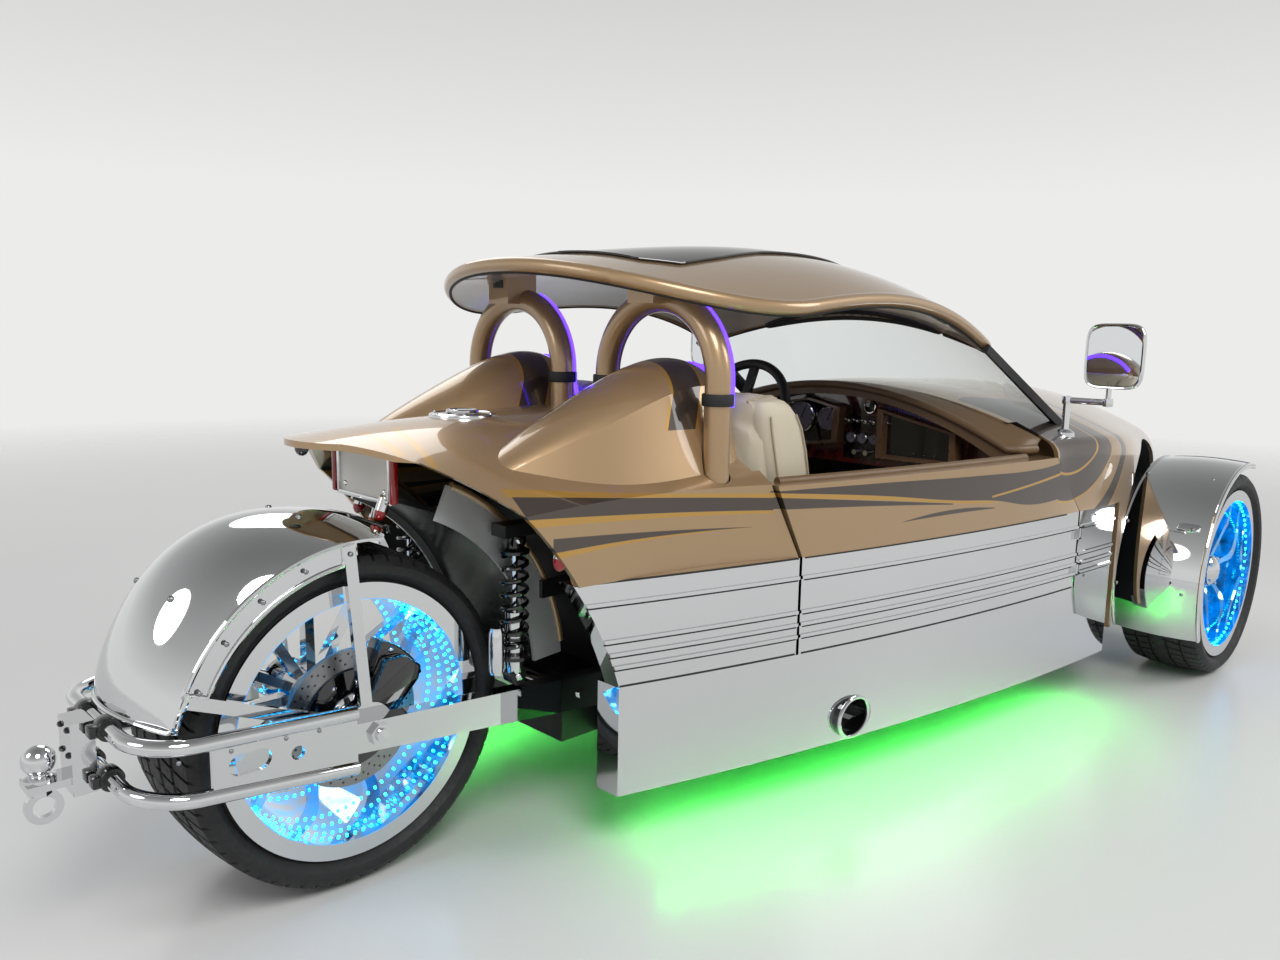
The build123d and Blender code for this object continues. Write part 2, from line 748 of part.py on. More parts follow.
# Roll hoops: two arches of tube with their feet through the deck, and a saddle on top of each
with BuildPart() as roll_hoops:
    for side in (-1, 1):
        inner_y = side * (hoop_centre - hoop_radius)
        outer_y = side * (hoop_centre + hoop_radius)
        with BuildLine() as path:
            Line((ahead(hoop_x), outer_y, hoop_foot), (ahead(hoop_x), outer_y, hoop_spring))
            ThreePointArc((ahead(hoop_x), outer_y, hoop_spring),
                          (ahead(hoop_x), side * hoop_centre, hoop_spring + hoop_radius),
                          (ahead(hoop_x), inner_y, hoop_spring))
            Line((ahead(hoop_x), inner_y, hoop_spring), (ahead(hoop_x), inner_y, hoop_foot))
        with BuildSketch(Plane.XY.offset(hoop_foot)):
            with Locations((ahead(hoop_x), outer_y)):
                Circle(hoop_tube)
        sweep(path=path.line)
        # Saddle on top of the hoop, ended under the roof
        with BuildSketch(Plane.XY.offset(hoop_spring + hoop_radius - 10)):
            with Locations((ahead(hoop_x - 20), side * hoop_centre)):
                Rectangle(84, 74)
        extrude(amount=90)
    add(roof_above.part, mode=Mode.SUBTRACT)
write(roll_hoops, "roll_hoops")

# Dark glass panel on the roof: plan points of its right half, station and half width
glass_plan = ((578, 0), (600, 222), (660, 283), (797, 262), (987, 221), (1290, 200), (1440, 170), (1475, 0))
with BuildPart() as roof_glass:
    loft([vault(x, half, edge + roof_glass_thickness, top + roof_glass_thickness, roof_glass_thickness)
          for x, half, edge, top in roof_sections])
    with BuildSketch(Plane.XY.offset(800)):
        with BuildLine():
            Polyline(*[(ahead(x), y) for x, y in glass_plan],
                     *[(ahead(x), -y) for x, y in glass_plan[-2:0:-1]], close=True)
        make_face()
    extrude(amount=600, mode=Mode.INTERSECT)
write(roof_glass, "roof_glass")

# Windshield: an arched pane raked from the cowl to the roof's underside, with a dark pillar at each end
rake = 33
rake_plane = Plane(origin=(ahead(1875), 0, 802), x_dir=(0, 1, 0),
                   z_dir=(-cos(radians(rake)), 0, sin(radians(rake))))
pillar = 24
pane_glass = 6
# Arcs of the pane: place along the rake, half width, height of its ends and of its middle
pane_arcs = ((-140, 568, 5, 122), (360, 499, -13, 116))


def pane_section(arc, from_half, to_half, inner, outer):
    """Part of one arc of the pane, between two shares of its half width, as a strip."""
    place, half, low, high = arc
    rise = high - low
    radius = (half ** 2 + rise ** 2) / (2 * rise)

    def point(share, out):
        y = share * half
        return y, -(low + sqrt(radius ** 2 - y ** 2) - (radius - rise) + out)

    shares = (from_half, (from_half + to_half) / 2, to_half)
    with BuildSketch(rake_plane.offset(place)) as strip:
        with BuildLine():
            ThreePointArc(*[point(share, outer) for share in shares])
            Line(point(to_half, outer), point(to_half, inner))
            ThreePointArc(*[point(share, inner) for share in shares[::-1]])
            Line(point(from_half, inner), point(from_half, outer))
        make_face()
    return strip.sketch


pillar_share = 1 - pillar / pane_arcs[0][1]
with BuildPart() as windshield:
    loft([pane_section(arc, -pillar_share, pillar_share, 0, pane_glass) for arc in pane_arcs], ruled=True)
    add(nose_outer.part, mode=Mode.SUBTRACT)
    add(over_roof_plan.part, mode=Mode.SUBTRACT)
write(windshield, "windshield")

with BuildPart() as windshield_frame:
    for side in (-1, 1):
        loft([pane_section(arc, side * pillar_share, side, -10, 14) for arc in pane_arcs], ruled=True)
    add(nose_outer.part, mode=Mode.SUBTRACT)
    add(over_roof_plan.part, mode=Mode.SUBTRACT)
write(windshield_frame, "windshield_frame")

# Dash: hood across the cockpit under the cowl's rear edge, with an upright face below
dash_depth = 90
dash_half = 552
dash_top = nose_sections[0][4]
dash_panel_thickness = 30
with BuildPart() as dash:
    with BuildSketch(Plane.YZ.offset(ahead(dash_x))):
        with BuildLine():
            ThreePointArc((-dash_half, cowl_belt - 10), (0, dash_top), (dash_half, cowl_belt - 10))
            Line((dash_half, cowl_belt - 10), (dash_half, cowl_belt - 60))
            ThreePointArc((dash_half, cowl_belt - 60), (0, dash_top - 34), (-dash_half, cowl_belt - 60))
            Line((-dash_half, cowl_belt - 60), (-dash_half, cowl_belt - 10))
        make_face()
    extrude(amount=-dash_depth)
write(dash, "dash")

with BuildPart() as dash_panel:
    with BuildSketch(Plane.YZ.offset(ahead(dash_x))):
        with BuildLine():
            ThreePointArc((-dash_half, cowl_belt - 60), (0, dash_top - 34), (dash_half, cowl_belt - 60))
            Polyline((dash_half, cowl_belt - 60), (dash_half - 12, 640), (12 - dash_half, 640),
                     (-dash_half, cowl_belt - 60))
        make_face()
    extrude(amount=-dash_panel_thickness)
write(dash_panel, "dash_panel")

# Console between the seats
with BuildPart() as console:
    with BuildSketch(Plane.XY.offset(floor_level + floor_thickness)):
        with Locations((ahead(1230), 0)):
            Rectangle(860, 90)
    extrude(amount=230)
    fillet(console.edges().filter_by(Axis.X).group_by(Axis.Z)[-1], 15)
write(console, "console")

# Seats: cushion and leaning back in one piece each
seat_low = floor_level + floor_thickness + seat_gap
seat_profile = ((deck_front + 22, 892), (858, 896), (955, 470), (1290, 450), (1310, 330), (1280, seat_low),
                (900, seat_low), (deck_front + 4, 600))
for side, hand in ((-1, "right"), (1, "left")):
    with BuildPart() as seat:
        extrude(side_profile(side * 60, seat_profile), amount=-side * 340)
        fillet(seat.edges().filter_by(Axis.Y), 20)
    write(seat, f"{hand}_seat")

# Steering column and wheel, driver on the left
wheel_hub = (1480, 240, 772)
column_tilt = 24
column_plane = Plane(origin=(ahead(wheel_hub[0]), wheel_hub[1], wheel_hub[2]), x_dir=(0, 1, 0),
                     z_dir=(-cos(radians(column_tilt)), 0, sin(radians(column_tilt))))
steering_rim_radius = 165
steering_rim_tube = 14
with BuildPart() as steering_wheel:
    with BuildSketch(Plane(origin=column_plane.origin, x_dir=column_plane.z_dir, z_dir=(0, 1, 0))):
        with Locations((0, steering_rim_radius)):
            Circle(steering_rim_tube)
    revolve(axis=Axis(column_plane.origin, column_plane.z_dir))
    with BuildSketch(column_plane.offset(-12)):
        Circle(38)
        for angle in (0, 180, 270):
            with Locations(Rotation(0, 0, angle)):
                with Locations((steering_rim_radius / 2, 0)):
                    Rectangle(steering_rim_radius, 26)
    extrude(amount=16)
write(steering_wheel, "steering_wheel")

column_length = (dash_x - 15 - wheel_hub[0]) / cos(radians(column_tilt))
with BuildPart() as steering_column:
    with BuildSketch(column_plane.offset(-12 - running_gap)):
        Circle(24)
    extrude(amount=12 + running_gap - column_length)
    add(dash_panel.part, mode=Mode.SUBTRACT)
write(steering_column, "steering_column")

# Mirrors: foot on the cowl, arm and rounded rectangular head
mirror_x = 1850
mirror_arm = 855
mirror_head = (30, 150, 170)
with BuildPart() as mirrors:
    for side in (-1, 1):
        with BuildSketch(Plane.XY.offset(890)):
            with Locations((ahead(mirror_x), side * 705)):
                RectangleRounded(mirror_head[0], mirror_head[1], 10)
        extrude(amount=mirror_head[2])
        with BuildSketch(Plane.XY.offset(760)):
            with Locations((ahead(mirror_x), side * 590)):
                Circle(14)
        extrude(amount=mirror_arm + 13 - 760)
        with BuildSketch(Plane.XZ.offset(-side * 580)):
            with Locations((ahead(mirror_x), mirror_arm)):
                Circle(10)
        extrude(amount=-side * 122)
        with BuildSketch(Plane.XY.offset(mirror_arm)):
            with Locations((ahead(mirror_x), side * 696)):
                Circle(8)
        extrude(amount=50)
    add(nose_outer.part, mode=Mode.SUBTRACT)
write(mirrors, "mirrors")

# Headlamps: domed lamps let into the nose shoulders
lamp_spot = (wheelbase + 470, 325, 545)
lamp_radius = 92
with BuildPart() as headlamps:
    for side in (-1, 1):
        with Locations((ahead(lamp_spot[0]), side * lamp_spot[1], lamp_spot[2])):
            Sphere(lamp_radius)
    add(nose_outer.part, mode=Mode.SUBTRACT)
write(headlamps, "headlamps")

# Swingarm: two tapered beams joined by the pivot tube
with BuildPart() as swingarm:
    for side in (-1, 1):
        beam = ((-arm_end, 287), (-arm_end, 341), (rear_wall_x, 302), (rear_wall_x, 228))
        extrude(side_profile(side * arm_inner, beam), amount=-side * arm_thickness)
    with BuildSketch(Plane.XZ.offset(-arm_inner - 2)):
        with Locations((ahead(rear_wall_x - 126), 270)):
            Circle(25)
    extrude(amount=2 * arm_inner + 4)
write(swingarm, "swingarm")

# Coil over shocks between the swingarm and the brackets of the tub
with BuildPart() as shocks:
    for side in (-1, 1):
        with BuildSketch(Plane.XY.offset(340)):
            with Locations((ahead(shock_x), side * shock_y)):
                Circle(12)
        extrude(amount=288)
        for i in range(8):
            with BuildSketch(Plane.XY.offset(385 + i * 27)):
                with Locations((ahead(shock_x), side * shock_y)):
                    Circle(shock_spring)
            extrude(amount=12)
        with BuildSketch(Plane.XZ.offset(-side * (shock_y - 14))):
            with Locations((ahead(shock_x), 345)):
                Circle(26)
        extrude(amount=-side * 28)
    add(swingarm.part, mode=Mode.SUBTRACT)
write(shocks, "shocks")

# Rear axle shaft, caliper and its bracket
with BuildPart() as rear_axle:
    with BuildSketch(Plane.XZ.offset(-arm_inner)):
        with Locations((rear_axle_x, tyre_radius)):
            Circle(axle_radius)
    extrude(amount=2 * arm_inner)
    with BuildSketch(Plane.XZ.offset(124)):
        with BuildLine():
            Polyline((rear_axle_x, tyre_radius - 30), (rear_axle_x + 30, tyre_radius - 30),
                     (rear_axle_x + 110, tyre_radius + 60), (rear_axle_x + 40, tyre_radius + 115),
                     (rear_axle_x - 30, tyre_radius + 20), close=True)
        make_face()
    extrude(amount=fender_half - 2 - 124)
    with BuildSketch(Plane.XZ.offset(86)):
        with BuildLine():
            Polyline((rear_axle_x + 15, tyre_radius + 80), (rear_axle_x + 75, tyre_radius + 40),
                     (rear_axle_x + 125, tyre_radius + 95), (rear_axle_x + 50, tyre_radius + 150), close=True)
        make_face()
    extrude(amount=45)
    with BuildSketch(Plane.XZ.offset(94)):
        with Locations((rear_axle_x, tyre_radius)):
            Circle(rear_disc_radius + 8)
    extrude(amount=20, mode=Mode.SUBTRACT)
    with BuildSketch(Plane.XZ.offset(94)):
        with Locations((rear_axle_x, tyre_radius)):
            Circle(axle_radius)
    extrude(amount=20)
write(rear_axle, "rear_axle")

# Rear fender: crowned shell over the wheel with a pointed front tip, and its stays to the axle
fender_edge = 341
fender_skin = 5
# Crown of the fender: angle round the axle from straight ahead, and radius
fender_crowns = ((68, 346), (81, 362), (94, 377), (108, 399), (122, 415), (138, 416), (152, 409), (167, 396))


def fender_section(angle, top):
    """Domed strip across the rear fender at an angle round the axle."""
    with BuildSketch(radial_plane(rear_axle_x, 0, angle)) as strip:
        with BuildLine():
            ThreePointArc((-fender_half, fender_edge), (0, top), (fender_half, fender_edge))
            Line((fender_half, fender_edge), (fender_half, fender_edge - fender_skin))
            ThreePointArc((fender_half, fender_edge - fender_skin), (0, top - fender_skin),
                          (-fender_half, fender_edge - fender_skin))
            Line((-fender_half, fender_edge - fender_skin), (-fender_half, fender_edge))
        make_face()
    return strip.sketch


# Flank plates of the fender: inner radius and the angles they run between
flank_radius = 304
flank_angles = (93, 157)
with BuildPart() as rear_fender:
    loft([fender_section(*row) for row in fender_crowns])
    with BuildSketch(Plane.XY.offset(500)):
        for side in (-1, 1):
            with BuildLine():
                Polyline((ahead(135), side * 20), (ahead(34), side * (fender_half + 5)),
                         (ahead(200), side * (fender_half + 5)), close=True)
            make_face()
    extrude(amount=300, mode=Mode.SUBTRACT)
    for side in (-1, 1):
        stay_y = side * (fender_half - 2)
        with BuildSketch(Plane.XZ.offset(-stay_y)):
            for angle in (95, 158):
                turn = radians(angle)
                aside = (11 * sin(turn), -11 * cos(turn))
                reach = fender_edge - 4
                end = (rear_axle_x + reach * cos(turn), tyre_radius + reach * sin(turn))
                with BuildLine():
                    Polyline((rear_axle_x + aside[0], tyre_radius + aside[1]),
                             (end[0] + aside[0], end[1] + aside[1]),
                             (end[0] - aside[0], end[1] - aside[1]),
                             (rear_axle_x - aside[0], tyre_radius - aside[1]), close=True)
                make_face()
            with Locations((rear_axle_x, tyre_radius)):
                Circle(46)
                Circle(axle_radius, mode=Mode.SUBTRACT)
        extrude(amount=-side * (arm_inner - fender_half + 2))
        with BuildSketch(Plane.XZ.offset(-stay_y)):
            ends = [(cos(radians(angle)), sin(radians(angle)))
                    for angle in (flank_angles[0], 125, flank_angles[1])]
            outer = [(rear_axle_x + fender_edge * c, tyre_radius + fender_edge * t) for c, t in ends]
            inner = [(rear_axle_x + flank_radius * c, tyre_radius + flank_radius * t) for c, t in ends]
            with BuildLine():
                ThreePointArc(*outer)
                Line(outer[2], inner[2])
                ThreePointArc(*inner[::-1])
                Line(inner[0], outer[0])
            make_face()
        extrude(amount=-side * (arm_inner - fender_half - 2))
write(rear_fender, "rear_fender")

# Inner fender: arched plate ahead of the rear tyre, between two bright flank bands
inner_radius = 400
with BuildPart() as inner_fender:
    with BuildSketch(radial_plane(rear_axle_x, 0, 5)):
        with Locations((0, inner_radius + 5)):
            Rectangle(300, 10)
        for side in (-1, 1):
            with Locations((side * (inner_fender_half - 4), inner_radius + 20)):
                Rectangle(8, 70)
    revolve(axis=wheel_axis(rear_axle_x, 0, -1), revolution_arc=62)
write(inner_fender, "inner_fender")

# Hitch frame: two tube loops round the tyre and a pierced plate on each side
loop_rear = -393
loop_corner = 90
with BuildPart() as hitch_frame:
    for front_level, rear_level in ((361, 384), (262, 300)):
        with BuildLine() as loop:
            FilletPolyline((ahead(-arm_end), hitch_y, front_level), (ahead(loop_rear), hitch_y, rear_level),
                           (ahead(loop_rear), -hitch_y, rear_level), (ahead(-arm_end), -hitch_y, front_level),
                           radius=loop_corner)
        with BuildSketch(Plane(origin=loop.line @ 0, z_dir=loop.line % 0)):
            Circle(hitch_tube)
        sweep(path=loop.line)
    for side in (-1, 1):
        with BuildSketch(Plane.XZ.offset(-side * (hitch_y - 5))):
            with BuildLine():
                Polyline((ahead(-arm_end), 362), (ahead(-arm_end), 262),
                         (ahead(-290), 290), (ahead(-290), 376), close=True)
            make_face()
            with Locations((ahead(-150), 322)):
                Circle(12, mode=Mode.SUBTRACT)
            with Locations((ahead(-230), 330)):
                SlotOverall(70, 36, mode=Mode.SUBTRACT)
        extrude(amount=-side * 10)
write(hitch_frame, "hitch_frame")

# Hitch receiver: box on the loops, drop plates and the shackle ring
with BuildPart() as hitch_receiver:
    with BuildSketch(Plane.XY.offset(276)):
        with Locations((ahead(loop_rear - hitch_tube - 18), 0)):
            Rectangle(36, 64)
    extrude(amount=120)
    with BuildSketch(Plane.XY.offset(295)):
        with Locations((ahead(loop_rear - hitch_tube - 58), 0)):
            Rectangle(80, 50)
    extrude(amount=12)
    with BuildSketch(Plane.XZ.offset(6)):
        with Locations((ahead(-478), 262)):
            Circle(28)
            Circle(17, mode=Mode.SUBTRACT)
        with Locations((ahead(-478), 292)):
            Rectangle(20, 10)
    extrude(amount=-12)
write(hitch_receiver, "hitch_receiver")

with BuildPart() as tow_ball:
    with Locations((ahead(-ball_reach + ball_radius), 0, ball_height)):
        Sphere(ball_radius)
    with BuildSketch(Plane.XY.offset(307)):
        with Locations((ahead(-ball_reach + ball_radius), 0)):
            Circle(14)
    extrude(amount=ball_height - 307)
write(tow_ball, "tow_ball")

# Plate bracket under the tail, with the bolt holes of a motorcycle plate
plate_x = 100
plate_holes = (146, 70)
with BuildPart() as plate_bracket:
    with BuildSketch(Plane.YZ.offset(ahead(plate_x))):
        with Locations((0, 755)):
            RectangleRounded(190, 112, 8)
            with GridLocations(*plate_holes, 2, 2):
                Circle(3.5, mode=Mode.SUBTRACT)
        with Locations((0, 825)):
            Rectangle(60, 60)
    extrude(amount=8)
    add(deck_space.part, mode=Mode.INTERSECT)
write(plate_bracket, "plate_bracket")
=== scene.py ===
from math import ceil, copysign, cos, pi, radians, sin, sqrt

import bmesh
import bpy
from mathutils import Matrix, Vector
from mathutils.bvhtree import BVHTree


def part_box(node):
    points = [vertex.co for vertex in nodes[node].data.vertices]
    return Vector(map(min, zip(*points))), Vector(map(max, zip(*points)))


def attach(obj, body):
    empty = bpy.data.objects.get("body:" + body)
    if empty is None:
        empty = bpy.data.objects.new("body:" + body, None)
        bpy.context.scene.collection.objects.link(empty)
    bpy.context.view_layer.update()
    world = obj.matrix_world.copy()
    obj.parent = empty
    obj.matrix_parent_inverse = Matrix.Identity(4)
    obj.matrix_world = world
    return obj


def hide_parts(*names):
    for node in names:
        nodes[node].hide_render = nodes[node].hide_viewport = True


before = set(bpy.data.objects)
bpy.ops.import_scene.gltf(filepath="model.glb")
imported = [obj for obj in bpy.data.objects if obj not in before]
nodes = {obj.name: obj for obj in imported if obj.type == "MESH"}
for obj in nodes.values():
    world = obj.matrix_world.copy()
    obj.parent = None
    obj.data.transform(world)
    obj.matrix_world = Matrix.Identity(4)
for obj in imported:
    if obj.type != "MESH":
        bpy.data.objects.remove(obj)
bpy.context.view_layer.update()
scene = bpy.context.scene

# Metres, +X forward, +Y left, +Z up. Stations are distances ahead of the rear axle, placed by ahead().


def middle(node):
    """Centre of a CAD node's box."""
    low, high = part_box(node)
    return (low + high) / 2


rear_hub = middle("rear_tyre")
front_hubs = {"right": middle("right_front_tyre"), "left": middle("left_front_tyre")}
sides = {"right": -1, "left": 1}


def ahead(x):
    """Place a distance ahead of the rear axle in the frame."""
    return rear_hub.x + x


def at(x, y, z):
    """Point from its distance ahead of the rear axle."""
    return Vector((ahead(x), y, z))


def up(z):
    """Step straight up."""
    return Vector((0, 0, z))


# Camera: the photograph's place and heading, fitted to the wheels, the plate and the body
camera_place = (ahead(-0.859), -1.727, 1.033)
camera_yaw, camera_pitch, camera_roll = 45.61, -8.73, 1.04
photo_width = 1280
camera_focal = 1009.2 / photo_width


def make_camera():
    """Camera at the fitted place, turned to the photograph's heading."""
    data = bpy.data.cameras.new("camera")
    data.sensor_width = 36
    data.lens = camera_focal * data.sensor_width
    camera = bpy.data.objects.new("camera", data)
    scene.collection.objects.link(camera)
    yaw, pitch, roll = (radians(a) for a in (camera_yaw, camera_pitch, camera_roll))
    forward = Vector((cos(yaw) * cos(pitch), sin(yaw) * cos(pitch), sin(pitch)))
    right = forward.cross(up(1)).normalized()
    above = right.cross(forward)
    turned_right = right * cos(roll) + above * sin(roll)
    turned_above = above * cos(roll) - right * sin(roll)
    axes = Matrix((turned_right, turned_above, -forward)).transposed().to_4x4()
    camera.matrix_world = Matrix.Translation(camera_place) @ axes
    scene.camera = camera


make_camera()

# Materials
cloud_scale = 2.6 / 0.3
drift_scale = 31.0


def linear(*rgb):
    """Scene-linear colour from 0 to 255 display values."""
    return tuple((c / 255 / 12.92) if c <= 10 else ((c / 255 + 0.055) / 1.055) ** 2.4 for c in rgb)


class Nodes:
    """Short calls that add nodes to one material or world."""

    def __init__(self, owner):
        owner.use_nodes = True
        self.owner = owner
        self.tree = owner.node_tree

    def add(self, kind, **values):
        """New node of a kind, with its settings."""
        node = self.tree.nodes.new("ShaderNode" + kind)
        for key, value in values.items():
            setattr(node, key, value)
        return node

    def link(self, source, target):
        """Link an output to a socket."""
        self.tree.links.new(source, target)

    def put(self, value, socket):
        """Link an output to a socket, or set the socket to a number, a colour or a turn."""
        if isinstance(value, bpy.types.NodeSocket):
            self.link(value, socket)
        elif isinstance(value, tuple):
            socket.default_value = (*value, 1)[:len(socket.default_value)]
        else:
            socket.default_value = value

    def fill(self, node, **values):
        """Put values into a node's inputs, named in small letters."""
        for key, value in values.items():
            self.put(value, node.inputs[key.replace("_", " ").title().replace("Ior", "IOR")])
        return node

    def dress(self, **values):
        """Fill the material's shader, and hand the material back."""
        self.fill(self.tree.nodes["Principled BSDF"], **values)
        return self.owner

    def math(self, operation, *values):
        """Output of a calculation on values or outputs."""
        node = self.add("Math", operation=operation)
        for value, socket in zip(values, node.inputs):
            self.put(value, socket)
        return node.outputs[0]

    def product(self, *values):
        """All the values multiplied."""
        found = values[0]
        for value in values[1:]:
            found = self.math("MULTIPLY", found, value)
        return found

    def length(self, a, b):
        """Length of the sides a and b of a right angle, taken together."""
        return self.math("SQRT", self.math("ADD", self.product(a, a), self.product(b, b)))

    def split(self, vector=None):
        """X, y and z of a vector, or else of the place on the object."""
        node = self.add("SeparateXYZ")
        self.link(vector or self.place(), node.inputs[0])
        return node.outputs

    def blend(self, share, a, b):
        """Colour a where share is 0 and b where it is 1."""
        node = self.add("Mix", data_type="RGBA")
        for value, index in ((share, 0), (a, 6), (b, 7)):
            self.put(value, node.inputs[index])
        return node.outputs[2]

    def place(self):
        """Place on the object."""
        return self.add("TexCoord").outputs["Object"]

    def noise(self, scale, detail=3.0):
        """Soft noise over the object."""
        return self.fill(self.add("TexNoise"), scale=scale, detail=detail, vector=self.place()).outputs["Fac"]

    def remap(self, value, low, high, to_low, to_high):
        """Value carried from one range to another."""
        node = self.add("MapRange")
        for given, socket in zip((value, low, high, to_low, to_high), node.inputs):
            self.put(given, socket)
        return node.outputs[0]

    def drift(self, low, high):
        """Roughness that varies softly over the surface."""
        return self.remap(self.noise(drift_scale), 0.3, 0.7, low, high)

    def bump(self, height, strength, distance):
        """Normal bent by a height."""
        node = self.fill(self.add("Bump"), height=height, strength=strength, distance=distance)
        return node.outputs["Normal"]


def shade(colour, share):
    """Colour made darker or lighter by a share."""
    return tuple(c * share for c in colour)


def finish(name, colour, roughness, metallic=0.0, grain=None, mottle=0.06, rough_spread=0.04, **sockets):
    """Procedural finish: colour that drifts a little, roughness that varies, and an optional grain
    given as scale, bump strength and depth."""
    n = Nodes(bpy.data.materials.new(name))
    if grain:
        scale, strength, depth = grain
        sockets["normal"] = n.bump(n.noise(scale, 6.0), strength, depth)
    cloud = n.noise(cloud_scale, 4.0)
    return n.dress(base_color=n.blend(cloud, shade(colour, 1 - mottle), colour), metallic=metallic,
                   roughness=n.drift(max(roughness - rough_spread, 0.01), roughness + rough_spread),
                   **sockets)


tan = linear(170, 140, 103)
taupe = linear(72, 61, 54)
gold = linear(186, 142, 62)
silver = (0.7, 0.71, 0.72)

chrome = finish("chrome", silver, 0.035, 1.0, mottle=0.02, rough_spread=0.015)
satin_chrome = finish("satin_chrome", silver, 0.2, 1.0, rough_spread=0.05)
black_paint = finish("black_paint", linear(17, 17, 18), 0.22, coat_weight=0.4)
# Black rubber, and the black of the painted shade under the body side's ribs
black_rubber_and_painted_shade = finish("black_rubber_and_painted_shade", linear(22, 22, 23), 0.62, grain=(900.0, 0.15, 0.0004))
black_plastic = finish("black_plastic", linear(20, 20, 21), 0.45, grain=(1400.0, 0.12, 0.0003))
gloss_black = finish("gloss_black", linear(8, 8, 10), 0.05, rough_spread=0.01, coat_weight=1.0)
cast_metal = finish("cast_metal", linear(120, 122, 124), 0.45, 1.0, grain=(420.0, 0.2, 0.0006))
steel = finish("steel", linear(150, 151, 153), 0.3, 1.0)
white_enamel = finish("white_enamel", linear(232, 232, 226), 0.35)
red_lens = finish("red_lens", linear(150, 12, 16), 0.12, coat_weight=0.6)
amber_lens = finish("amber_lens", linear(205, 110, 20), 0.15, coat_weight=0.6)
dial_face = finish("dial_face", linear(118, 118, 122), 0.4)
screen_glass = finish("screen_glass", linear(12, 13, 16), 0.06, coat_weight=1.0)
hood_leather = finish("hood_leather", linear(112, 88, 60), 0.42, grain=(520.0, 0.35, 0.0009))
cream_leather = finish("cream_leather", linear(206, 196, 172), 0.48, mottle=0.09, grain=(420.0, 0.4, 0.0010))
stitching = finish("stitching", linear(176, 164, 138), 0.7, grain=(900.0, 0.4, 0.0005))
wood_trim = finish("wood_trim", linear(108, 80, 54), 0.3, grain=(160.0, 0.2, 0.0005), coat_weight=0.5)


def glowing(name, colour, strength):
    """Emitting finish for light strips."""
    n = Nodes(bpy.data.materials.new(name))
    unlit = (0.02, 0.02, 0.02)
    return n.dress(base_color=n.blend(n.noise(40.0), unlit, shade(unlit, 0.8)), roughness=0.3,
                   emission_color=colour, emission_strength=strength)


cyan_light = glowing("cyan_light", (0.02, 0.62, 1.0), 9.0)
violet_light = glowing("violet_light", (0.06, 0.02, 1.0), 6.0)
green_light = glowing("green_light", (0.02, 1.0, 0.05), 60.0)
panel_glass = finish("panel_glass", linear(9, 9, 11), 0.06, rough_spread=0.01, specular_ior_level=0.12)
lamp_lens = finish("lamp_lens", (0.72, 0.75, 0.78), 0.06, 0.35, mottle=0.15, coat_weight=1.0)


def windscreen_glass():
    """Clear glass with a faint tint."""
    n = Nodes(bpy.data.materials.new("windscreen_glass"))
    tint = (0.86, 0.9, 0.9)
    return n.dress(base_color=n.blend(n.noise(3.0), tint, shade(tint, 0.98)), roughness=0.0, ior=1.2,
                   transmission_weight=1.0)


def chrome_with_painted_glow(name, hub):
    """Chrome of a rim with painted light: a cyan glow on the barrel and the outer ends of the spokes, tinting
    the colour and emitting faintly, standing for the rim lights' glow.
    """
    n = Nodes(bpy.data.materials.new(name))
    x, _, z = n.split()
    away = n.length(n.math("SUBTRACT", x, hub.x), n.math("SUBTRACT", z, hub.z))
    # Painted light: a cyan tint and a faint cyan emission where the rim lights would shine on the chrome
    lit = n.product(n.remap(away, 0.15, 0.222, 0.0, 1.0), n.remap(away, 0.2262, 0.2275, 1.0, 0.0),
                    n.remap(n.noise(22.0, 5.0), 0.32, 0.62, 0.12, 1.0))
    return n.dress(base_color=n.blend(lit, silver, (0.25, 0.6, 0.8)), metallic=1.0,
                   roughness=n.drift(0.03, 0.07), emission_strength=0.62,
                   emission_color=n.blend(lit, (0.0, 0.0, 0.0), (0.0, 0.26, 0.95)))


class Stripes(Nodes):
    """Masks of painted stripes on the body. Their points and limits are in millimetres, as they are small."""

    # Metres that the whole length of a curve stands for
    reach = 3.2

    def __init__(self, owner):
        super().__init__(owner)
        x, y, z = self.split()
        self.x = self.math("SUBTRACT", x, ahead(0))
        self.y = self.math("ABSOLUTE", y)
        self.z = z

    def edge(self, points):
        """Height of a stripe's edge, from (station, height) points."""
        node = self.add("FloatCurve")
        curve = node.mapping.curves[0]
        rows = [(x / 1000 / self.reach, z / 1000) for x, z in points]
        curve.points[0].location = rows[0]
        curve.points[1].location = rows[-1]
        for row in rows[1:-1]:
            curve.points.new(*row)
        for point in curve.points:
            point.handle_type = "AUTO"
        node.mapping.extend = "EXTRAPOLATED"
        node.mapping.update()
        self.link(self.math("DIVIDE", self.x, self.reach), node.inputs["Value"])
        return node.outputs[0]

    def over(self, a, b):
        """1 where a is greater than b, with a soft edge of about a millimetre. Numbers are millimetres."""
        a, b = (v / 1000 if isinstance(v, (int, float)) else v for v in (a, b))
        soft = 0.0006
        return self.remap(self.math("SUBTRACT", a, b), -soft, soft, 0.0, 1.0)

    def within(self, low, value, high):
        """1 where a value lies between two others."""
        return self.product(self.over(value, low), self.over(high, value))

    def any_of(self, masks):
        """1 where at least one mask is 1."""
        found = masks[0]
        for mask in masks[1:]:
            found = self.math("MAXIMUM", found, mask)
        return found

    def band(self, start, end, low, high):
        """From one station to another, between two edges."""
        height = self.within(self.edge(low), self.z, self.edge(high))
        return self.product(height, self.within(start, self.x, end))

    def ring(self, centre, inner, outer, start, slant):
        """Between two radii round a point of the side view, from a distance off the middle plane outwards.
        The slant draws its end over the cowl to a point."""
        away = self.length(self.math("SUBTRACT", self.x, centre[0] / 1000),
                           self.math("SUBTRACT", self.z, centre[1] / 1000))
        end = self.math("ADD", self.product(self.math("SUBTRACT", away, inner / 1000), slant), start / 1000)
        return self.product(self.within(inner, away, outer), self.over(self.y, end))


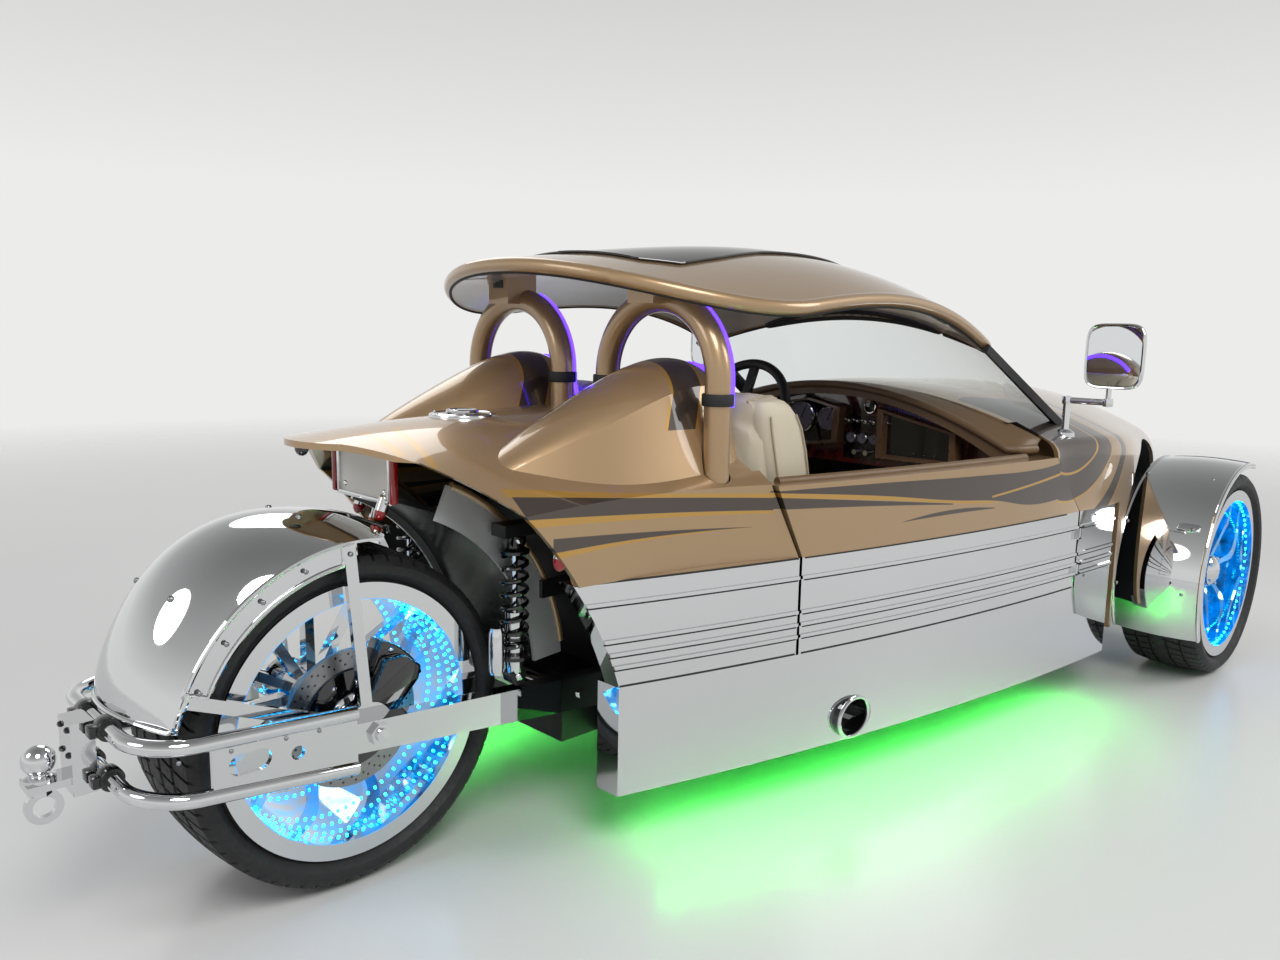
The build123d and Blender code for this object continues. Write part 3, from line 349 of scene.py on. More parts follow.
# Stripes along the body: start, end, lower edge and upper edge
dark_bands = (
    (190, 752, ((220, 694), (449, 682), (760, 664)), ((220, 732), (449, 713), (751, 690.5))),
    (250, 704, ((322, 633), (450, 635), (704, 633)), ((299, 655), (450, 647), (704, 634))),
    (744, 1732, ((752, 701), (1043, 673), (1280, 643), (1442, 628), (1603, 603), (1727, 605)),
     ((744, 705), (1040, 702), (1372, 694), (1638, 692), (1727, 700))),
    (744, 1281, ((773, 666), (1044, 651), (1281, 633)), ((772, 690), (1043, 662), (1281, 636))),
    (1105, 1444, ((1105, 608), (1302, 611), (1444, 609)), ((1105, 608), (1282, 621), (1444, 611))),
)
gold_bands = (
    (180, 752, ((197, 733), (448, 713), (751, 690.5)), ((197, 745), (448, 721), (751, 699))),
    (190, 752, ((259, 680), (449, 672), (769, 658)), ((256, 694), (449, 682), (760, 664))),
    (250, 728, ((328, 624), (450, 630), (728, 633)), ((322, 633), (450, 635), (704, 633.5))),
    (744, 1442, ((772, 690), (1043, 664), (1370, 627), (1442, 622)),
     ((771, 699), (1043, 673), (1280, 643), (1442, 628))),
    (1430, 1732, ((1430, 636), (1596, 651), (1740, 668)), ((1430, 641), (1596, 657), (1740, 675))),
)

# Rings where the stripes turn over the nose: inner and outer radius, start off the middle, and slant
nose_turn = (1785, 858)
nose_front = 1730
dark_rings = ((0, 262, 320, 0.3), (330, 372, 240, 3.4))
gold_rings = ((188, 195, 376, 0.0), (262, 268, 398.6, 0.0), (372, 378, 382.8, 0.0))

# Bands round the headrest fairings: places along the slanted line
dark_fairing = ((606, 676),)
gold_fairing = ((676, 682), (600, 606))


def stripe_mask(s, bands, rings, fairings, hooks=()):
    """Mask of one colour's stripes."""
    front = s.over(s.x, nose_front)
    # Slanted place along a headrest fairing, and the shell above the deck there
    along = s.math("ADD", s.x, s.product(s.math("SUBTRACT", 0.95, s.z), 0.45))
    fairing = s.product(s.over(s.z, 830), s.over(s.y, 90), s.within(420, s.x, 740))
    masks = [s.band(*row) for row in bands]
    masks += [s.product(s.ring(nose_turn, *row), front) for row in rings]
    masks += [s.product(fairing, s.within(low, along, high)) for low, high in fairings]
    return s.any_of(masks + list(hooks))


def tail_hooks(s):
    """Gold hooks on the tail, drawn forward towards the sides."""
    bend = s.math("SUBTRACT", s.y, 0.11)
    first = s.math("ADD", s.x, s.product(bend, bend, 0.8))
    second = s.math("ADD", s.x, s.product(s.y, 0.155))
    on_tail = s.product(s.over(300, s.x), s.over(s.z, 740), s.over(s.y, 50))
    return [s.product(on_tail, s.within(low, place, low + 15), s.over(end, s.y))
            for place, low, end in ((first, 62, 190), (second, 129, 240))]


def body_paint(name, striped):
    """Champagne metallic under clear coat, with the taupe bands and gold lines where striped."""
    s = Stripes(bpy.data.materials.new(name))
    flake = s.noise(2600.0, 2.0)
    colour = s.blend(s.remap(flake, 0.35, 0.65, 0.0, 1.0), shade(tan, 0.9), shade(tan, 1.06))
    if striped:
        dark = stripe_mask(s, dark_bands, dark_rings, dark_fairing)
        bright = stripe_mask(s, gold_bands, gold_rings, gold_fairing, tail_hooks(s))
        colour = s.blend(bright, s.blend(dark, colour, taupe), gold)
    return s.dress(base_color=colour, roughness=s.remap(flake, 0.3, 0.7, 0.3, 0.42), metallic=0.55,
                   coat_weight=1.0, coat_roughness=0.03)


striped_paint = body_paint("striped_paint", True)
plain_paint = body_paint("plain_paint", False)


def burgundy_wood():
    """Dark red burl under lacquer."""
    n = Nodes(bpy.data.materials.new("burgundy_wood"))
    figure = n.add("TexWave", wave_type="BANDS")
    n.fill(figure, scale=9.0, distortion=14.0, detail=4.0, vector=n.place())
    return n.dress(base_color=n.blend(figure.outputs["Fac"], linear(44, 12, 14), linear(92, 26, 26)),
                   roughness=0.12, coat_weight=1.0)


def tread_rubber():
    """Tyre rubber: matt, with a fine grain."""
    n = Nodes(bpy.data.materials.new("tread_rubber"))
    return n.dress(base_color=n.blend(n.noise(30.0), linear(19, 19, 20), linear(29, 29, 30)),
                   roughness=n.remap(n.noise(90.0), 0.3, 0.7, 0.5, 0.68),
                   normal=n.bump(n.noise(1200.0, 2.0), 0.2, 0.0005))


def quilted_black():
    """Black liner with a pressed grid, and bright metal on its flanks."""
    n = Nodes(bpy.data.materials.new("quilted_black"))
    square, groove, flank_y = 0.05, 0.0016, 0.15
    turned = n.fill(n.add("Mapping"), vector=n.place(), rotation=(radians(90), 0, radians(90)))
    brick = n.fill(n.add("TexBrick", offset=0.0), vector=turned.outputs[0], scale=1.0, brick_width=square,
                   row_height=square, mortar_size=groove)
    grid = brick.outputs["Fac"]
    flank = n.remap(n.math("ABSOLUTE", n.split()[1]), flank_y - 0.0002, flank_y + 0.0002, 0.0, 1.0)
    liner = n.blend(grid, linear(13, 13, 14), linear(40, 40, 42))
    return n.dress(base_color=n.blend(flank, liner, silver), metallic=n.product(flank, 0.5),
                   roughness=n.remap(flank, 0.0, 1.0, 0.24, 0.3),
                   normal=n.bump(n.product(grid, n.math("SUBTRACT", 1.0, flank)), 0.5, 0.001))


def lined_paint():
    """Roof finish: champagne paint above, pale lining on the faces that look down."""
    n = Nodes(body_paint("lined_paint", False))
    paint = n.tree.nodes["Principled BSDF"].inputs["Base Color"].links[0].from_socket
    under = n.remap(n.split(n.add("TexCoord").outputs["Normal"])[2], -0.42, -0.38, 1.0, 0.0)
    return n.dress(base_color=n.blend(under, paint, linear(176, 171, 162)),
                   metallic=n.remap(under, 0.0, 1.0, 0.55, 0.0))


tyre_rubber = tread_rubber()

# Finish of each CAD node
node_finishes = [
    (chrome, "sills side_panels grille mirrors swingarm rear_fender hitch_frame hitch_receiver tow_ball"),
    (striped_paint, "rear_deck nose"),
    (plain_paint, "roll_hoops"),
    (lined_paint(), "roof"),
    (panel_glass, "roof_glass"),
    (windscreen_glass(), "windshield"),
    (black_rubber_and_painted_shade, "windshield_frame steering_wheel"),
    (lamp_lens, "headlamps"),
    (black_plastic, "tub wheel_wells steering_column"),
    (gloss_black, "exhaust_outlets"),
    (hood_leather, "dash console"),
    (burgundy_wood(), "dash_panel"),
    (black_paint, "front_arms shocks rear_axle plate_bracket"),
    (cast_metal, "engine"),
    (quilted_black(), "inner_fender"),
    (tyre_rubber, "rear_tyre"),
    (chrome_with_painted_glow("rear_rim_chrome", rear_hub), "rear_rim"),
    (steel, "rear_disc"),
]
for hand in sides:
    node_finishes += [
        (cream_leather, f"{hand}_seat"),
        (striped_paint, f"{hand}_door_skin"),
        (chrome, f"{hand}_door_panel {hand}_front_fender"),
        (black_paint, f"{hand}_knuckle"),
        (tyre_rubber, f"{hand}_front_tyre"),
        (chrome_with_painted_glow(f"{hand}_rim_chrome", front_hubs[hand]), f"{hand}_front_rim"),
        (steel, f"{hand}_front_disc"),
    ]
for made, names in node_finishes:
    for name in names.split():
        if nodes[name].material_slots:
            for slot in nodes[name].material_slots:
                slot.material = made
        else:
            nodes[name].data.materials.append(made)

# Pieces are built as bmeshes and handed to piece()


def piece(name, bm, made, body="chassis", crease=35.0):
    """Turn a bmesh into an object that rides on a body: smooth, but sharp at angles over the crease."""
    bmesh.ops.recalc_face_normals(bm, faces=bm.faces)
    for face in bm.faces:
        face.smooth = True
    limit = radians(crease)
    for edge in bm.edges:
        edge.smooth = len(edge.link_faces) == 2 and edge.calc_face_angle(0) < limit
    data = bpy.data.meshes.new(name)
    bm.to_mesh(data)
    bm.free()
    data.materials.append(made)
    obj = bpy.data.objects.new(name, data)
    scene.collection.objects.link(obj)
    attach(obj, body)
    return obj


def turns(count):
    """Angles of even steps round a circle."""
    return [2 * pi * i / count for i in range(count)]


def swung(radius, turn, along=0.0, axis="Y"):
    """Offset at a radius and an angle round an axis, and at a distance along the axis."""
    a, b = radius * cos(turn), radius * sin(turn)
    return Vector({"X": (along, a, b), "Y": (a, along, b), "Z": (a, b, along)}[axis])


def circle(centre, radius, count, axis="Y"):
    """Points round a circle across an axis."""
    return [Vector(centre) + swung(radius, turn, 0.0, axis) for turn in turns(count)]


def squared(turn, power):
    """Cosine and sine of an angle, drawn out towards the corners of a square."""
    return [copysign(abs(v) ** power, v) for v in (cos(turn), sin(turn))]


def skin(bm, rings, ends="caps"):
    """Faces between rings of points of equal count, with caps, open or joined in a loop."""
    rows = [[bm.verts.new(p) for p in ring] for ring in rings]
    for a, b in zip(rows, rows[1:] + (rows[:1] if ends == "loop" else [])):
        for i in range(len(a)):
            j = (i + 1) % len(a)
            bm.faces.new((a[i], a[j], b[j], b[i]))
    if ends == "caps":
        bm.faces.new(rows[0][::-1])
        bm.faces.new(rows[-1])
    return rows


def lathe(bm, centre, profile, steps=96, axis="Y"):
    """Turn a closed profile of (radius, offset along the axis) points round a centre."""
    skin(bm, [[Vector(centre) + swung(r, turn, along, axis) for r, along in profile]
              for turn in turns(steps)], "loop")


def collar(inner, outer, start, end):
    """Profile of a plain collar, or of a rod where its inner radius is 0."""
    return (inner, start), (outer, start), (outer, end), (inner, end)


def clamp(inner, outer, half):
    """Profile of a clamp with eased rims."""
    ease = 0.002
    rim = outer - ease / 2
    flat = half - ease
    return (inner, -half), (rim, -half), (outer, -flat), (outer, flat), (rim, half), (inner, half)


def ring_round(point, side, other, radius, steps):
    """Points round a circle between two directions."""
    return [point + (side * cos(turn) + other * sin(turn)) * radius for turn in turns(steps)]


def tube(bm, points, radius, steps=16, closed=False):
    """Round tube along points, carried by parallel frames."""
    points = [Vector(p) for p in points]
    count = len(points)
    tangents = []
    for i in range(count):
        before = points[(i - 1) % count] if closed or i else points[i]
        after = points[(i + 1) % count] if closed or i < count - 1 else points[i]
        tangents.append((after - before).normalized())
    side = tangents[0].orthogonal().normalized()
    rings = []
    for point, tangent in zip(points, tangents):
        side = (side - tangent * side.dot(tangent)).normalized()
        rings.append(ring_round(point, side, tangent.cross(side), radius, steps))
    skin(bm, rings, "loop" if closed else "caps")


def block(bm, centre, size, edge=0.002, turn=None, segments=2):
    """Block with rounded edges."""
    verts = bmesh.ops.create_cube(bm, size=1.0)["verts"]
    bmesh.ops.scale(bm, vec=size, verts=verts)
    if edge:
        edges = list({e for v in verts for e in v.link_edges})
        done = bmesh.ops.bevel(bm, geom=edges, offset=edge, segments=segments, profile=0.5, affect="EDGES")
        verts = list({v for f in done["faces"] for v in f.verts} | {v for v in verts if v.is_valid})
    if turn is not None:
        bmesh.ops.rotate(bm, cent=(0, 0, 0), matrix=turn.to_3x3(), verts=verts)
    bmesh.ops.translate(bm, vec=Vector(centre), verts=verts)


def dome(bm, centre, direction, radius, height, steps=12, rings=4):
    """Rounded bolt head or lens that stands on a surface."""
    direction = Vector(direction).normalized()
    side = direction.orthogonal().normalized()
    other = direction.cross(side)
    levels = []
    for k in range(rings):
        lift = pi / 2 * k / rings
        foot = Vector(centre) + direction * height * sin(lift)
        levels.append(ring_round(foot, side, other, radius * cos(lift), steps))
    rows = skin(bm, levels, "open")
    top = bm.verts.new(Vector(centre) + direction * height)
    for i in range(steps):
        bm.faces.new((rows[-1][i], rows[-1][(i + 1) % steps], top))
    bm.faces.new(rows[0][::-1])


def studs(bm, centre, radius, along, angles, head, facets=(12, 4)):
    """Bolt heads round an axle, at a distance along it, facing outwards."""
    for angle in angles:
        dome(bm, centre + swung(radius, angle, along), (0, along, 0), *head, *facets)


backward, upward, downward = (-1, 0, 0), (0, 0, 1), (0, 0, -1)

# Bolt heads: radius and height. A hexagon's steps and rings turn a dome into a nut.
bolt_head, small_bolt = (0.006, 0.005), (0.004, 0.003)
hexagon = (6, 2)

# Tyres: grooved tread on the CAD's profile, which ends a shoulder's width inside the tyre's sides
shoulder = 0.013


def tyre_rows(radius, half):
    """Closed section of a tyre: rows of offset along the axle, radius, and whether slots cut the row."""
    bead, lip, seat = half - 0.021, 0.258, 0.234
    groove_depth = 0.006
    tread_half = half - shoulder
    rows = [(-bead, seat, False), (-bead, lip, False)]
    for share in (0.25, 0.5, 0.75, 1.0):
        bulge = sin(share * pi * 0.62) / sin(pi * 0.62)
        rows.append((-(bead + (half - bead) * min(1.0, bulge)), lip + (radius - 0.026 - lip) * share, False))
    rows.append((-(half - 0.004), radius - 0.019, False))
    rows.append((-tread_half, radius - 0.0095, True))
    wall = [(-y, r, cut) for y, r, cut in rows[::-1]]
    # Marks across the tread, as shares of its half width, with their floors near the grooves' middles
    grooves = (0.62, 0.24)
    marks = [-0.86] + [off - g for g in grooves for off in (-0.045, -0.03, 0.03, 0.045)] + [-0.1, 0.0]
    for mark in marks + [-m for m in marks[-2::-1]]:
        floor = any(abs(abs(mark) - g) < 0.035 for g in grooves)
        crown = radius - 0.0004 - 0.009 * mark ** 2
        rows.append((mark * tread_half, crown - (groove_depth if floor else 0), not floor))
    return rows + wall


def make_tyre(name, node, body, width, pitches):
    """Tyre with lengthwise grooves and slanted slots, on the CAD tyre's own section."""
    low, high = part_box(node)
    hub = middle(node)
    half = width / 2
    rows = tyre_rows((high.z - low.z) / 2, half)
    slot_depth, slant = 0.0048, 0.9
    columns = []
    for pitch in range(pitches):
        for share, slot in ((0.0, False), (0.4, False), (0.8, False), (0.83, True), (0.97, True)):
            column = []
            for y, r, cut in rows:
                off = abs(y) / (half - shoulder)
                deep = slot_depth if slot and cut and off > 0.16 else 0
                column.append(hub + swung(r - deep, 2 * pi * (pitch + share + slant * off) / pitches, y))
            columns.append(column)
    bm = bmesh.new()
    skin(bm, columns, "loop")
    made = piece(name, bm, tyre_rubber, body, 28.0)
    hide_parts(node)


rear_width, front_width, pitches = 0.285, 0.226, 64
make_tyre("rear_tyre_tread", "rear_tyre", "rear_wheel", rear_width, pitches)
for hand in sides:
    make_tyre(f"{hand}_front_tyre_tread", f"{hand}_front_tyre", f"{hand}_front_wheel", front_width, pitches)

# Light dots on ribbons round the rims
rim_inside = 0.2235


def light_ring(name, hub, body, offsets, count, dot):
    """Rows of small lights on the inside of a rim, at offsets along the axle."""
    bm = bmesh.new()
    for along in offsets:
        for turn in turns(count):
            dome(bm, hub + swung(rim_inside, turn, along), -swung(1.0, turn), dot, dot * 0.7, 6, 2)
    piece(name, bm, cyan_light, body)


light_ring("rear_wheel_lights", rear_hub, "rear_wheel", (-0.108, -0.085, -0.05, -0.01, 0.105), 84, 0.0032)
for hand, side in sides.items():
    light_ring(f"{hand}_front_lights", front_hubs[hand], f"{hand}_front_wheel", (side * 0.085, -side * 0.03),
               64, 0.0034)

# Chains of sharp edges on the CAD meshes, for seals and rolled edges
sharp_angle = radians(38)
chain_step = 0.012


def sharp_chains(node, wanted):
    """Sharp edges of a CAD node that are wanted, by middle and face normals, as lines of even spacing."""
    bm = bmesh.new()
    bm.from_mesh(nodes[node].data)
    bmesh.ops.remove_doubles(bm, verts=bm.verts, dist=0.00002)
    bmesh.ops.recalc_face_normals(bm, faces=bm.faces)
    links = {}
    for e in bm.edges:
        if len(e.link_faces) != 2 or e.calc_face_angle(0) <= sharp_angle:
            continue
        a, b = e.verts
        if wanted((a.co + b.co) / 2, [f.normal for f in e.link_faces]):
            links.setdefault(a, []).append(b)
            links.setdefault(b, []).append(a)
    chains = []
    seen = set()
    for start in [v for v in links if len(links[v]) != 2] + list(links):
        if start in seen:
            continue
        line = [start]
        following = [start]
        while following:
            seen.add(line[-1])
            following = [v for v in links[line[-1]] if v not in seen]
            line += following[:1]
        if len(line) > 2:
            closed = line[0] in links[line[-1]]
            points = [v.co.copy() for v in line + (line[:1] if closed else [])]
            chains.append((even(points, chain_step), closed))
    bm.free()
    return chains


def even(points, spacing):
    """Points at an even spacing along a line."""
    lengths = [0.0]
    for a, b in zip(points, points[1:]):
        lengths.append(lengths[-1] + (b - a).length)
    count = max(2, ceil(lengths[-1] / spacing))
    made = []
    k = 0
    for i in range(count + 1):
        want = lengths[-1] * i / count
        while k < len(points) - 2 and lengths[k + 1] < want:
            k += 1
        span = lengths[k + 1] - lengths[k]
        made.append(points[k].lerp(points[k + 1], (want - lengths[k]) / span if span else 0.0))
    return made


def smoothed(line, rounds=3):
    """Line with its bends eased and its ends kept."""
    for _ in range(rounds):
        line = [line[0]] + [(a + b * 2 + c) / 4 for a, b, c in zip(line, line[1:], line[2:])] + [line[-1]]
    return line


def edge_tubes(name, node, made, radius, wanted, body="chassis", steps=8, shortest=0.08, rounds=0,
               shift=(0, 0, 0)):
    """Tubes along the wanted sharp edges of a node, moved by a shift."""
    bm = bmesh.new()
    for line, closed in sharp_chains(node, wanted):
        line = [q + Vector(shift) for q in smoothed(line, rounds)]
        if sum((b - a).length for a, b in zip(line, line[1:])) > shortest:
            tube(bm, line[:-1] if closed else line, radius, steps, closed)
    piece(name, bm, made, body)


def faces_down(mid, normals):
    """Edges where a face that looks down meets one that doesn't."""
    return min(n.z for n in normals) < -0.5 and max(n.z for n in normals) > -0.45


def any_edge(mid, normals):
    """Every sharp edge."""
    return True


def on_hump(mid, normals):
    """Edges round the front ends of the headrest fairings."""
    return mid.x > ahead(0.73) and mid.z > 0.85 and abs(mid.y) < 0.43 and max(n.x for n in normals) > 0.6


edge_tubes("roof_seal", "roof", black_rubber_and_painted_shade, 0.0035, faces_down)
edge_tubes("roof_rim_roll", "roof", plain_paint, 0.0152, faces_down, steps=16, shortest=0.48,
           shift=(0, 0, 0.0155))
edge_tubes("roof_glass_trim", "roof_glass", gloss_black, 0.0025,
           lambda mid, normals: max(n.z for n in normals) > 0.5)
edge_tubes("rear_fender_rolled_edge", "rear_fender", chrome, 0.0045,
           lambda mid, normals: (mid - rear_hub).length > 0.325 and mid.z > 0.36, shortest=0.15)
for hand in sides:
    edge_tubes(f"{hand}_front_fender_rolled_edge", f"{hand}_front_fender", chrome, 0.005, any_edge,
               f"{hand}_corner", shortest=0.15)
edge_tubes("hump_lights", "rear_deck", violet_light, 0.006, on_hump, steps=10, shortest=0.0,
           shift=(0.001, 0, 0.0045))

# Body side line, for the pieces laid along it


def circle_through(a, b, c):
    """Centre and radius of the circle through three points."""
    weights = (b[1] - c[1], c[1] - a[1], a[1] - b[1])
    spans = (c[0] - b[0], a[0] - c[0], b[0] - a[0])
    squares = [p[0] ** 2 + p[1] ** 2 for p in (a, b, c)]
    doubled = 2 * sum(p[0] * weight for p, weight in zip((a, b, c), weights))
    x = sum(square * weight for square, weight in zip(squares, weights)) / doubled
    y = sum(square * span for square, span in zip(squares, spans)) / doubled
    return x, y, sqrt((a[0] - x) ** 2 + (a[1] - y) ** 2)


side_arc = circle_through((0.402, 0.392), (1.143, 0.561), (2.06, 0.66))
rear_arc = circle_through((0.082, 0.789), (0.26, 0.628), (0.402, 0.35))


def side_y(x):
    """Distance of the body side from the middle at a station."""
    return side_arc[1] + sqrt(side_arc[2] ** 2 - (x - side_arc[0]) ** 2)


def arch_x(z):
    """Station of the rear wheel arch at a height."""
    return rear_arc[0] + sqrt(rear_arc[2] ** 2 - (z - rear_arc[1]) ** 2)


def side_band(bm, side, start, end, low, high, out, root=0.003):
    """Flat band along the body side, from root inside the side line to out beyond it."""
    rings = []
    count = max(3, ceil((end - start) / 0.05))
    for i in range(count + 1):
        x = start + (end - start) * i / count
        inner, outer = side * (side_y(x) - root), side * (side_y(x) + out)
        rings.append([at(x, inner, low), at(x, outer, low), at(x, outer, high), at(x, inner, high)])
    skin(bm, rings)


# Painted shade: dark strips under the ribs and along the seams of the bright panels, where shade falls, cut
# where the door starts and ends
rear_end, door_start, door_end, nose_start, nose_end = 0.812, 0.829, 1.839, 1.857, 2.052
rib_levels = (0.391, 0.417, 0.444, 0.518)
# Level at the wheel arch, lower and upper edge, height over the panel, and the end on the door
shade_lines = [(level, level - 0.0075, level - 0.0034, 0.0012, door_end) for level in rib_levels]
shade_lines += [(0.354, 0.3508, 0.3545, 0.0008, door_end), (0.56, 0.5575, 0.5605, 0.0012, 1.78)]
for hand, side in sides.items():
    fixed, moving = bmesh.new(), bmesh.new()
    for level, low, high, out, end in shade_lines:
        side_band(fixed, side, arch_x(level) + 0.002, rear_end, low, high, out)
        side_band(moving, side, door_start, end, low, high, out)
        if level in rib_levels:
            side_band(fixed, side, nose_start, nose_end, low, high, out)
    # The strips are painted shade in the black finish, on the body and on each door
    piece(f"{hand}_rib_seats", fixed, black_rubber_and_painted_shade)
    piece(f"{hand}_door_rib_seats", moving, black_rubber_and_painted_shade, f"{hand}_door")

# Door linings with a leather panel, a leather roll on top, and a pull. Spans: start, end, low and high
lining_span, panel_span, inward = (0.93, 1.74, 0.375, 0.7), (0.95, 1.72, 0.5, 0.585), -0.0595
pull = ((1.3, 0.0), (1.31, 0.014), (1.34, 0.02), (1.44, 0.02), (1.47, 0.014), (1.48, 0.0))
for hand, side in sides.items():
    lining, roll = bmesh.new(), bmesh.new()
    side_band(lining, side, *lining_span, inward, 0.0618)
    side_band(roll, side, *panel_span, inward, 0.0645)
    stations = [0.79 + 0.03 * i for i in range(29)]
    tube(roll, [at(x, side * (side_y(x) - 0.042), 0.7165) for x in stations], 0.0105, 14)
    tube(roll, [at(x, side * (side_y(x) - 0.062 - off), 0.62) for x, off in pull], 0.006, 10)
    piece(f"{hand}_door_lining", lining, cream_leather, f"{hand}_door")
    piece(f"{hand}_door_roll", roll, hood_leather, f"{hand}_door")

# Exhaust rims: ovals in the side panels
exhaust_x, exhaust_z = 0.985, 0.18
half_long, half_tall = 0.056, 0.044
for hand, side in sides.items():
    y = side * (side_y(exhaust_x) + 0.005)
    oval = [at(exhaust_x + half_long * cos(turn), y, exhaust_z + half_tall * sin(turn)) for turn in turns(40)]
    bm = bmesh.new()
    tube(bm, oval, 0.0045, 10, closed=True)
    piece(f"{hand}_exhaust_rim", bm, chrome)

# Hoops: clamps round the legs and light strips on their front sides
hoop_x, hoop_y, hoop_z, hoop_half = 0.65, 0.24, 0.925, 0.162
clamps, strips = bmesh.new(), bmesh.new()
for side in (-1, 1):
    for y, level in ((hoop_y - hoop_half, 0.912), (hoop_y + hoop_half, 0.889)):
        lathe(clamps, at(hoop_x, side * y, level), clamp(0.0272, 0.0325, 0.012), 40, "Z")
        block(clamps, at(hoop_x + 0.033, side * y, level), (0.014, 0.016, 0.022), 0.003)
    # The strip follows the tube's middle line at half a turn between forward and outward
    x, reach = hoop_x + 0.0205, hoop_half + 0.0215
    line = [at(x, side * (hoop_y + reach), hoop_z - 0.0125 * i) for i in (4, 3, 2, 1)]
    line += [at(x, side * (hoop_y + reach * cos(turn)), hoop_z + reach * sin(turn))
             for turn in turns(64)[:33]]
    line += [at(x, side * (hoop_y - reach), hoop_z - 0.0125 * i) for i in (1, 2)]
    # The roof's bracket parts the strip
    tube(strips, [q for q in line if abs(q.y) > 0.287], 0.0035, 8)
    tube(strips, [q for q in line if abs(q.y) < 0.193], 0.0035, 8)
piece("hoop_clamps", clamps, black_rubber_and_painted_shade)
piece("hoop_lights", strips, violet_light)

# Filler lid on the deck, with its lifting ring
lid = at(0.32, 0, 0.842)
bm = bmesh.new()
lathe(bm, lid, ((0.0, -0.012), (0.068, -0.012), (0.07, -0.002), (0.067, 0.006), (0.058, 0.0085),
                (0.054, 0.006), (0.03, 0.0075), (0.0, 0.008)), 64, "Z")
piece("filler_lid", bm, satin_chrome)
bm = bmesh.new()
tube(bm, circle(lid + up(0.0115), 0.03, 32, "Z"), 0.0035, 10, closed=True)
for place in circle(lid + up(0.007), 0.062, 6, "Z"):
    dome(bm, place, upward, *small_bolt)
piece("filler_ring", bm, chrome)

# Plate, blank, with its frame and the reflectors beside it
plate_x, plate_z = 0.1, 0.752
bm = bmesh.new()
block(bm, at(plate_x - 0.0025, 0, plate_z), (0.004, 0.184, 0.104), 0.0015)
piece("plate_blank", bm, white_enamel)
bm, reflectors = bmesh.new(), bmesh.new()
for side in (-1, 1):
    block(bm, at(plate_x - 0.006, 0, plate_z + side * 0.053), (0.008, 0.2, 0.009), 0.002)
    block(bm, at(plate_x - 0.006, side * 0.0955, plate_z), (0.008, 0.009, 0.11), 0.002)
    for level in (-0.035, 0.035):
        dome(bm, at(plate_x - 0.0045, side * 0.073, plate_z + level), backward, 0.006, 0.004)
    block(reflectors, at(plate_x - 0.006, side * 0.108, plate_z), (0.014, 0.013, 0.108), 0.004)
piece("plate_frame", bm, chrome)
piece("plate_reflectors", reflectors, red_lens)


def bullet_lamp(name, centre, direction, radius, length, lens):
    """Small round lamp: bright body with a coloured lens on its end."""
    direction = Vector(direction).normalized()
    bm = bmesh.new()
    tube(bm, [centre + direction * length * t for t in (-0.5, -0.42, 0.0, 0.2)], radius, 20)
    dome(bm, centre - direction * length * 0.5, -direction, radius, radius * 0.8, 20, 5)
    piece(name, bm, chrome)
    bm = bmesh.new()
    dome(bm, centre + direction * length * 0.2, direction, radius * 0.95, radius * 1.5, 20, 6)
    piece(name + "_lens", bm, lens)


bullet_lamp("plate_lamp", at(0.092, -0.07, 0.688), (-0.4, 0, -1), 0.012, 0.036, red_lens)
for hand, side in sides.items():
    bullet_lamp(f"{hand}_tail_lamp", at(0.284, side * 0.362, 0.622), (-0.25, 0, -1), 0.015, 0.045, red_lens)
    bullet_lamp(f"{hand}_tail_amber", at(0.318, side * 0.366, 0.585), (-0.25, 0, -1), 0.012, 0.04, amber_lens)
bm = bmesh.new()
dome(bm, at(-0.028, 0, 0.803), downward, 0.013, 0.016, 20, 5)
piece("tail_camera", bm, gloss_black)

# Rail tubes along the inner fender's flanks
bm = bmesh.new()
for side in (-1, 1):
    tube(bm, [rear_hub + swung(0.457, radians(angle), side * 0.156) for angle in range(8, 67, 2)], 0.0075, 12)
piece("inner_fender_rails", bm, plain_paint)


